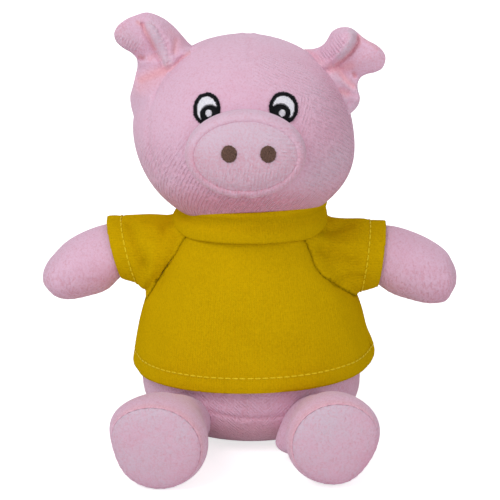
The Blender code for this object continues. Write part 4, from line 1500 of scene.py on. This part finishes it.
def makeLeg(label, side):
    curve = (legs["hip"], legs["instep"], legs[f"sole{label}"])

    def shaped(stations):
        return lambda share, turn: limbPoints(curve, side, stations, share, turn)

    leg = addBag(f"leg{label}Plush", 120, 110, shaped(legStations()))
    sole = addBag(f"sole{label}", 120, 70, shaped(soleStations()))
    rim = shaped(legStations())(np.full(80, legs["seamShare"]), np.linspace(0, 2 * math.pi, 80))
    for piece, tint in ((leg, 0.08), (sole, 0.02)):
        points, normals = readPoints(piece), readNormals(piece)
        gap, along = nearest(points, rim)
        # Painted shade along the sole's seam on its upper side: deeper pink, and on the leg warm salmon.
        shown = ramp(points[:, 2] - points[:, 0] * side * 0.6, -0.014, 0.010)
        addCreaseShade(piece, tint * bell(gap, 0.0014) * shown)
        rise = 0.00007 * bell(gap, 0.0030) * np.sin(2 * math.pi * along / 0.0034)
        points = points + normals * rise[:, None]
        for centre, reach, move in legs[f"shape{label}"]:
            away = np.linalg.norm(points - np.array(centre), axis=1)
            points = points + bell(away, reach)[:, None] * np.array(move)
        # Below its middle the foot is a little fuller, and it flattens where it rests.
        middle = legs["soleRight"][2]
        points[:, 2] = np.where(points[:, 2] < middle, middle - (middle - points[:, 2]) * 1.03, points[:, 2])
        points[:, 2] = np.maximum(points[:, 2], legs["lift"])
        paint(piece, "mottle", 0.45 if piece is leg else 0.35)
        if piece is leg:
            paint(piece, "warmShade", 0.40 * bell(gap, 0.0022) * shown)
        writePoints(piece, points)
    body = f"leg_{label.lower()}"
    finishPiece(leg, plush, body, [f"{body}_cover", f"{body}_filling"], sideShade=0.15)
    finishPiece(sole, solePlush, body, [f"foot_{label.lower()}_sole"])


for make in (makeArm, makeLeg):
    make("Left", 1)
    make("Right", -1)
print("limbs are sewn")

# Shirt: raglan panels of jersey cut from one fitted shell, with a folded neckband
shirt = {
    "voxel": 0.0013,
    "thickness": 0.0009,
    "sectionPower": 2.12,
    # share of the bag, height, right edge (the pig's), left edge, front, back
    "body": [
        (0.00, 0.010, -0.0005, 0.0005, -0.0005, 0.0005),
        (0.06, 0.010, -0.0400, 0.0440, -0.0360, 0.0360),
        (0.12, 0.014, -0.0478, 0.0500, -0.0420, 0.0415),
        (0.20, 0.0240, -0.0484, 0.0500, -0.0424, 0.0420),
        (0.28, 0.0330, -0.0474, 0.0508, -0.0422, 0.0420),
        (0.37, 0.0420, -0.0456, 0.0488, -0.0414, 0.0412),
        (0.46, 0.0510, -0.0434, 0.0468, -0.0403, 0.0402),
        (0.56, 0.0610, -0.0408, 0.0436, -0.0386, 0.0385),
        (0.66, 0.0700, -0.0376, 0.0396, -0.0365, 0.0362),
        (0.76, 0.0790, -0.0338, 0.0346, -0.0334, 0.0334),
        (0.85, 0.0870, -0.0294, 0.0311, -0.0314, 0.0312),
        (0.92, 0.0950, -0.0288, 0.0306, -0.0312, 0.0310),
        (0.97, 0.0990, -0.0200, 0.0200, -0.0200, 0.0200),
        (1.00, 0.0990, -0.0005, 0.0005, -0.0005, 0.0005),
    ],
    # share of the bag, distance from the middle, height of the sleeve's middle, half height, half depth
    "sleeveRight": [
        (0.00, 0.018, 0.0800, 0, 0),
        (0.08, 0.018, 0.0800, 0.0090, 0.0100),
        (0.25, 0.030, 0.0774, 0.0128, 0.0150),
        (0.42, 0.040, 0.0764, 0.0148, 0.0152),
        (0.57, 0.047, 0.0771, 0.0137, 0.0145),
        (0.72, 0.053, 0.0775, 0.0131, 0.0140),
        (0.84, 0.058, 0.0775, 0.0129, 0.0140),
        (0.92, 0.062, 0.0770, 0.0126, 0.0136),
        (1.00, 0.066, 0.0740, 0, 0),
    ],
    "sleeveLeft": [
        (0.00, 0.018, 0.0790, 0, 0),
        (0.08, 0.018, 0.0790, 0.0090, 0.0100),
        (0.25, 0.030, 0.0765, 0.0132, 0.0150),
        (0.42, 0.040, 0.0742, 0.0150, 0.0154),
        (0.57, 0.047, 0.0744, 0.0149, 0.0150),
        (0.72, 0.0535, 0.0746, 0.0138, 0.0146),
        (0.82, 0.058, 0.0746, 0.0142, 0.0145),
        (0.92, 0.062, 0.0740, 0.0141, 0.0142),
        (1.00, 0.066, 0.0730, 0, 0),
    ],
    # cutting planes: a point on each, and the way it faces
    "hem": ((0, 0, 0.0288), (-0.0163, 0.004, 1)),
    "neck": ((0, 0, 0.0911), (0, -0.045, 1)),
    "neckRight": ((-0.0247, 0, 0.0911), (0.10, -0.045, 1)),
    "neckLeft": ((0.0247, 0, 0.0911), (-0.10, -0.045, 1)),
    "raglanRight": ((-0.0251, 0, 0.0875), (-1, 0, 0.582)),
    "raglanLeft": ((0.0366, 0, 0.0693), (1, 0, 0.745)),
    "sleeveHemRight": ((-0.0545, 0, 0.0773), (-0.971, 0, -0.240)),
    "sleeveHemLeft": ((0.0545, 0, 0.0745), (0.9923, 0, -0.124)),
    "sides": ((0, 0, 0), (0.08, 1, 0)),
    "sewn": ("raglanRight", "raglanLeft", "sides"),
    "stitchInside": {"hem": 0.0063, "sleeveHemRight": 0.0056, "sleeveHemLeft": 0.0064},
    # Stitches: spacing, length and lift, the widths at hem and cuffs, and the gap that none of them crosses
    "stitch": {
        "pitch": 0.0029, "length": 0.0021, "lift": 0.0002, "hem": 0.0008, "cuff": 0.0007, "gap": 0.002,
    },
    "sleeveReach": 0.0172,
    "seam": 0.0005,
    # How far beside the raglan seams the seam allowances lie, and how far they stand out
    "allowance": (0.0035, 0.0004),
    # Points beside the neckband and the armpit, and further out, for the sleeves to follow the arms; nothing
    # here uses them
    "sleeveBend": {
        "right": ((-0.0285, 0, 0.0911), (-0.0401, 0, 0.0958)),
        "left": ((0.0285, 0, 0.0911), (0.0398, 0, 0.0965)),
    },
    # The left raglan seam bows inward: height, reach, how far
    "bow": (0.0745, 0.0090, 0.0042),
    "hemGroove": 0.0003,
    "hemEdge": 0.0004,
    "underNeckband": 0.0012,
    # Radii that bring whole numbers of wales round the body and round each sleeve
    "waleRadius": 0.042948,
    "sleeveWaleRadius": 0.014037,
    "sleeveAxisHeight": 0.076,
    # Where the shell is fuller or flatter: a place, how far it reaches, how far out
    "shape": [
        ((0.0502, 0, 0.0336), 0.008, 0.0019),
        ((-0.0480, -0.012, 0.0285), 0.007, -0.0010),
        ((-0.0420, -0.010, 0.0600), 0.006, 0.0018),
        ((0.0346, -0.002, 0.0885), 0.003, 0.0008),
    ],
    # Folds as pixels of the photograph: a line, its width, how far it stands out, and how dark its painted
    # shade is
    "folds": [
        ([(130, 222), (137, 243), (145, 266)], 5.5, -0.0016, 0.34),
        ([(158, 232), (152, 260), (147, 284)], 6.0, 0.0011, 0.0),
        ([(171, 221), (162, 231), (152, 238)], 4.0, -0.0008, 0.22),
        ([(143, 262), (147, 275), (149, 288)], 3.5, -0.0006, 0.25),
        ([(178, 238), (168, 262), (160, 284)], 3.0, -0.0006, 0.08),
        ([(314, 229), (334, 230), (350, 224)], 4.5, -0.0012, 0.30),
        ([(318, 240), (338, 245), (358, 243)], 5.0, 0.0009, 0.0),
        ([(322, 250), (340, 258), (356, 264)], 5.0, -0.0011, 0.24),
        ([(338, 282), (350, 277), (361, 278)], 4.5, -0.0009, 0.26),
        ([(365, 296), (369, 320), (371, 345)], 3.0, -0.0009, 0.22),
        ([(331, 300), (345, 330), (352, 352)], 9.0, 0.0008, 0.0),
        ([(190, 300), (175, 335), (165, 360)], 10.0, 0.0006, 0.0),
        ([(230, 330), (262, 352), (300, 350)], 12.0, -0.0005, 0.05),
    ],
}


neckband = {
    "centre": (0.0008, 0.0002),
    "halfWidth": 0.0298,
    "halfDepth": 0.0322,
    # The lower edge: turn from the front, height
    "low": [
        (0, 0.0886), (0.5, 0.0881), (0.9, 0.0873), (1.25, 0.0886), (1.57, 0.0902), (2.2, 0.0896),
        (3.15, 0.0885),
    ],
    "topSide": 0.0962,
    "sideLean": 0.0014,
    "topFront": 0.1012,
    "topBack": 0.0975,
    "thickness": 0.0018,
    # How far the band leans out at the seam and at the fold, less at the pig's right side, and how deep it
    # creases between the two
    "seamLean": 0.0013,
    "foldLean": 0.0010,
    "foldLeanLess": 0.0026,
    "crease": 0.0008,
    "waleRadius": 0.031,
    # The fold's valley and its swell, as pixels of the photograph, with painted shade in the valley
    "folds": [
        ([(180, 214), (200, 221), (231.7, 224), (262, 223.5), (288, 221.5), (322, 212)], 4.5, -0.0013, 0.26),
        ([(186, 226), (215, 233), (250, 236), (290, 232), (318, 224)], 6.0, 0.0005, 0.0),
    ],
}


def neckEdge(turn):
    return follow(neckband["low"], np.abs(turn))


def bowed(points, key, way=1):
    # Straightens a bowed seam, so that a plane can cut it, or with way -1 bows it again.
    if key != "raglanLeft":
        return points
    height, reach, far = shirt["bow"]
    shift = np.zeros_like(points)
    shift[:, 0] = far * bell(points[:, 2] - height, reach) * way
    return points + shift


def planeGap(points, key):
    point, facing = shirt[key]
    points = bowed(points, key)
    facing = np.array(facing, float)
    return (points - np.array(point)) @ (facing / np.linalg.norm(facing))


def shirtBodyForm(share, turn):
    height, right, left, front, back = follow(shirt["body"], share).T
    power = 2 / shirt["sectionPower"]
    c, s = np.cos(turn), np.sin(turn)
    x = (right + left) / 2 + (left - right) / 2 * np.sign(c) * np.abs(c) ** power
    y = np.where(s < 0, -front, back) * np.sign(s) * np.abs(s) ** power
    return np.column_stack([x, y, height])


def sleeveForm(key, side, share, turn):
    away, middle, high, deep = follow(shirt[key], share).T
    height = middle + np.maximum(high, 0) * np.sin(turn)
    return np.column_stack([away * side, np.maximum(deep, 0) * np.cos(turn), height])


def turnedIn(gap, inside, width):
    # A turned hem is drawn in at its stitches and at its edge.
    return -shirt["hemGroove"] * bell(gap - inside, width) - shirt["hemEdge"] * bell(gap, 0.0008)


def makeShell():
    body = addBag("shirtShell", 160, 100, shirtBodyForm)
    right = addBag("sleeve", 96, 60, lambda share, turn: sleeveForm("sleeveRight", -1, share, turn))
    left = addBag("sleeve", 96, 60, lambda share, turn: sleeveForm("sleeveLeft", 1, share, turn))
    deselect()
    for piece in (body, right, left):
        piece.select_set(True)
    bpy.context.view_layer.objects.active = body
    bpy.ops.object.join()
    shell = named("shirtShell")
    applyModifier(shell, "REMESH", mode="VOXEL", voxel_size=shirt["voxel"])
    applyModifier(shell, "SMOOTH", factor=0.5, iterations=14)
    push(shell, shirt["shape"])
    points, normals = readPoints(shell), readNormals(shell)
    raglans = np.array([planeGap(points, key) for key in ("raglanRight", "raglanLeft")])
    onSleeve = raglans.max(axis=0) > 0
    beside, swell = shirt["allowance"]
    rise = swell * bell(np.abs(raglans) - beside, 0.0025).sum(axis=0)
    tint = np.zeros(len(points))
    for key, inside in shirt["stitchInside"].items():
        if key == "hem":
            rise += np.where(onSleeve, 0, turnedIn(planeGap(points, key), inside, 0.0012))
        else:
            mine = onSleeve & (np.sign(points[:, 0]) == np.sign(shirt[key][0][0]))
            rise += np.where(mine, turnedIn(-planeGap(points, key), inside, 0.0011), 0)
    # Under the neckband the cloth is drawn in.
    above = points[:, 2] - neckEdge(np.arctan2(points[:, 0], -points[:, 1]))
    rise -= shirt["underNeckband"] * ramp(above, -0.0004, 0.0016)
    x, y = onPage(points)
    facing = ramp(-normals[:, 1], 0.0, 0.5)
    # Fold valleys are painted in shade.
    for path, width, height, dark in shirt["folds"]:
        share = bell(stroke(x, y, path)[0], width) * facing
        rise += height * share
        tint += dark * share
    writePoints(shell, points + normals * rise[:, None])
    around = np.arctan2(points[:, 0], -points[:, 1]) * shirt["waleRadius"]
    sleeveTurn = np.arctan2(points[:, 1], points[:, 2] - shirt["sleeveAxisHeight"])
    sleeveAround = sleeveTurn * shirt["sleeveWaleRadius"]
    paint(shell, "wale", np.where(onSleeve, sleeveAround, around))
    paint(shell, "course", np.where(onSleeve, points[:, 0], points[:, 2]))
    paint(shell, "crease", tint)
    return shell


def cutPanel(shell, name, cuts):
    # cuts: (plane, side kept). A copy of the shell, cut by each plane, then made as thick as cloth. Beside
    # a sewn edge more cuts, which clear nothing, give the seam its points.
    panel = shell.copy()
    panel.data = shell.data.copy()
    scene.collection.objects.link(panel)
    pick(panel)
    named(name)
    for key, side in cuts:
        point, facing = shirt[key]
        steps = (0, 0.0005, 0.0011, 0.0019) if key in shirt["sewn"] else (0,)
        writePoints(panel, bowed(readPoints(panel), key))
        for inside in steps:
            place = Vector(point) + Vector(facing).normalized() * inside * side
            bpy.ops.object.mode_set(mode="EDIT")
            bpy.ops.mesh.select_all(action="SELECT")
            clear = {"clear_inner": side > 0 and not inside, "clear_outer": side < 0 and not inside}
            bpy.ops.mesh.bisect(plane_co=place, plane_no=facing, **clear)
            bpy.ops.object.mode_set(mode="OBJECT")
        writePoints(panel, bowed(readPoints(panel), key, -1))
    # Seams draw in, in a line of shade.
    points, normals = readPoints(panel), readNormals(panel)
    near = np.min([np.abs(planeGap(points, key)) for key, _ in cuts if key in shirt["sewn"]], axis=0)
    writePoints(panel, points - normals * (shirt["seam"] * bell(near, 0.0007))[:, None])
    addCreaseShade(panel, 0.50 * bell(near, 0.0004))
    thick = shirt["thickness"]
    applyModifier(panel, "SOLIDIFY", thickness=thick, offset=-1, use_rim=True, use_even_offset=False)
    return panel


def makeShirt():
    shell = makeShell()
    keep = [("hem", 1), ("neck", -1), ("raglanRight", -1), ("raglanLeft", -1)]
    front = cutPanel(shell, "shirtFront", keep + [("sides", -1)])
    back = cutPanel(shell, "shirtBack", keep + [("sides", 1)])
    points = readPoints(back)
    paint(back, "wale", np.arctan2(points[:, 0], points[:, 1]) * shirt["waleRadius"])
    sleeves = []
    for label in ("Right", "Left"):
        cuts = [(f"raglan{label}", 1), (f"sleeveHem{label}", -1), (f"neck{label}", -1)]
        sleeves.append(cutPanel(shell, f"sleeve{label}Cloth", cuts))
    return shell, front, back, *sleeves


shirtShell, shirtFront, shirtBack, sleeveRightCloth, sleeveLeftCloth = makeShirt()
shellTree = skinTree(shirtShell)


def aroundHem(turns):
    # Points on the shell along the hem's stitch line.
    (_, _, height), facing = shirt["hem"]
    facing = np.array(facing) / np.linalg.norm(facing)
    above = shirt["stitchInside"]["hem"]
    path = []
    for turn in turns:
        out = Vector((math.sin(turn), -math.cos(turn), 0))
        z = height + above
        for _ in range(3):
            spot, normal, _, _ = shellTree.ray_cast(out * farOff + Vector((0, 0, z)), -out)
            gap = (np.array(spot) - np.array((0, 0, height))) @ facing
            z += (above - gap) / facing[2]
        path.append((spot, normal))
    return path


def aroundSleeve(key, turns):
    point, facing = shirt[key]
    facing = Vector(facing).normalized()
    centre = Vector(point) - facing * shirt["stitchInside"][key]
    over = Vector((0, 1, 0))
    up = facing.cross(over).normalized()
    path = []
    for turn in turns:
        out = over * math.cos(turn) + up * math.sin(turn)
        spot, normal, _, _ = shellTree.ray_cast(centre, out)
        # Past the armpit the cuff's line is inside the shirt, and isn't sewn.
        if (spot - centre).length < shirt["sleeveReach"]:
            path.append((spot, normal))
    return path


def dashes(path, width):
    # Evenly spaced stitches along a line of (place, normal). None of them crosses a gap in the line.
    stitch = shirt["stitch"]
    spots, normals = (np.array(column) for column in zip(*path))
    run = lengths(spots)
    unsewn = np.diff(run, append=run[-1]) > stitch["gap"]

    def along(at, values):
        return Vector([np.interp(at, run, values[:, axis]) for axis in range(3)])

    rows = []
    for i in range(int(run[-1] / stitch["pitch"])):
        ends = (i * stitch["pitch"], i * stitch["pitch"] + stitch["length"])
        reached = np.searchsorted(run, ends, side="right") - 1
        if not unsewn[np.clip(reached, 0, len(run) - 1)].any():
            up = [along(at, normals) for at in ends]
            start, end = (along(at, spots) + way * stitch["lift"] for at, way in zip(ends, up))
            rows.append((start, end, (up[0] + up[1]).normalized(), width))
    return rows


def sewHems():
    turns = np.linspace(0, 2 * math.pi, 400)
    sewn = []
    for name, path, width, body in (
        ("hemStitches", aroundHem(turns), "hem", "torso"),
        ("cuffStitchesRight", aroundSleeve("sleeveHemRight", turns), "cuff", None),
        ("cuffStitchesLeft", aroundSleeve("sleeveHemLeft", turns), "cuff", None),
    ):
        rows = dashes(path, shirt["stitch"][width])
        sewn.append(layStitches(name, rows, threads["mustardThread"], body, []))
    return sewn


def makeNeckband():
    deselect()
    bpy.ops.mesh.primitive_torus_add(major_segments=300, minor_segments=40, major_radius=1, minor_radius=0.25)
    band = named("neckbandCloth")
    points = readPoints(band)
    turn = np.arctan2(points[:, 0], -points[:, 1])
    out = np.hypot(points[:, 0], points[:, 1]) - 1
    section = np.arctan2(points[:, 2], out)
    c, s = np.cos(section), np.sin(section)
    frontness = np.cos(turn)
    x, y = np.sin(turn) * neckband["halfWidth"], -np.cos(turn) * neckband["halfDepth"]
    low = neckEdge(turn)
    topFront, topSide, topBack = (neckband[key] for key in ("topFront", "topSide", "topBack"))
    inFront = (topFront - topSide) * np.abs(frontness) ** 1.1
    high = topSide + np.where(frontness > 0, inFront, (topBack - topSide) * frontness**2)
    high += neckband["sideLean"] * np.sin(turn)
    level = (1 + np.sign(s) * np.abs(s) ** 0.55) / 2
    offset = neckband["thickness"] / 2 * np.sign(c) * np.abs(c) ** 0.6
    less = np.where(x > 0, 0, neckband["foldLeanLess"] * np.sin(turn) ** 2)
    offset += neckband["seamLean"] * (1 - level) ** 2 + (neckband["foldLean"] - less) * level**2
    offset -= neckband["crease"] * bell(level - 0.62, 0.14) * np.clip(0.55 + frontness, 0, 1)
    place = np.column_stack([x, y, low + (high - low) * level])
    outward = np.column_stack([np.sin(turn), -np.cos(turn), np.zeros(len(turn))])
    place += outward * offset[:, None]
    place[:, 0] += neckband["centre"][0]
    place[:, 1] += neckband["centre"][1]
    # Painted shade along the band's lower edge, at the seam.
    addCreaseShade(band, 0.55 * bell(level, 0.05))
    paint(band, "wale", turn * neckband["waleRadius"])
    paint(band, "course", place[:, 2])
    writePoints(band, place)
    faceOutward(band)
    points, normals = readPoints(band), readNormals(band)
    x, y = onPage(points)
    facing = ramp(-normals[:, 1], 0.0, 0.4) * ramp(-points[:, 1], 0.0, 0.006)
    for path, width, height, dark in neckband["folds"]:
        share = bell(stroke(x, y, path)[0], width) * facing
        points += normals * (height * share)[:, None]
        addCreaseShade(band, dark * share)
    writePoints(band, points)
    return band


neckbandCloth = makeNeckband()
hemStitches, cuffRight, cuffLeft = sewHems()
bpy.data.objects.remove(shirtShell)
for piece, body, node in (
    (shirtFront, "torso", "shirt_front"),
    (shirtBack, "torso", "shirt_back"),
    (neckbandCloth, "torso", "neckband"),
    (sleeveRightCloth, None, "sleeve_right"),
    (sleeveLeftCloth, None, "sleeve_left"),
):
    finishPiece(piece, jersey, body, [node])

# The sleeves and their cuff stitches are baked where they stand.
for side, sleevePieces in (("right", (sleeveRightCloth, cuffRight)), ("left", (sleeveLeftCloth, cuffLeft))):
    for piece in sleevePieces:
        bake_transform(piece)
print("shirt is sewn")

# Tail: a narrow stuffed tube, curled
tail = {
    "root": 0.0350, "start": 0.0407, "height": 0.0200, "radius": 0.0023,
    "curl": 0.0048, "pitch": 0.0068, "turns": 1.4,
}


def makeTail():
    way = np.linspace(0, 1, 70)
    angle = 2 * math.pi * tail["turns"] * way
    curl = tail["curl"] * np.sin(np.minimum(way * 2, 1) * math.pi / 2)
    out = tail["start"] + tail["pitch"] * tail["turns"] * way
    line = np.column_stack([curl * np.sin(angle), out, tail["height"] - curl * np.cos(angle)])
    inside = [(0, y, tail["height"]) for y in (tail["root"], tail["start"] - 0.002)]
    line = np.concatenate([inside, line])
    ahead = np.gradient(line, axis=0)
    ahead /= np.linalg.norm(ahead, axis=1)[:, None]
    # The ring of each point is turned as little as it can be from the ring before it.
    level = [np.cross(ahead[0], (0, 0, 1))]
    for step in ahead[1:]:
        turned = level[-1] - step * (level[-1] @ step)
        level.append(turned / np.linalg.norm(turned))
    level = np.array(level)
    high = np.cross(level, ahead)
    at = np.linspace(0, 1, len(line))

    def form(share, turn):
        def along(values):
            return np.column_stack([np.interp(share, at, values[:, axis]) for axis in range(3)])

        radius = tail["radius"] * (1.1 - 0.25 * share) * np.sqrt(np.clip(1 - (2 * share - 1) ** 24, 0, 1))
        aside, over = (radius * np.cos(turn))[:, None], (radius * np.sin(turn))[:, None]
        return along(line) + along(level) * aside + along(high) * over

    finishPiece(addBag("tailPlush", 32, 120, form), plush, "torso", ["tail"])


makeTail()
print("tail is sewn")
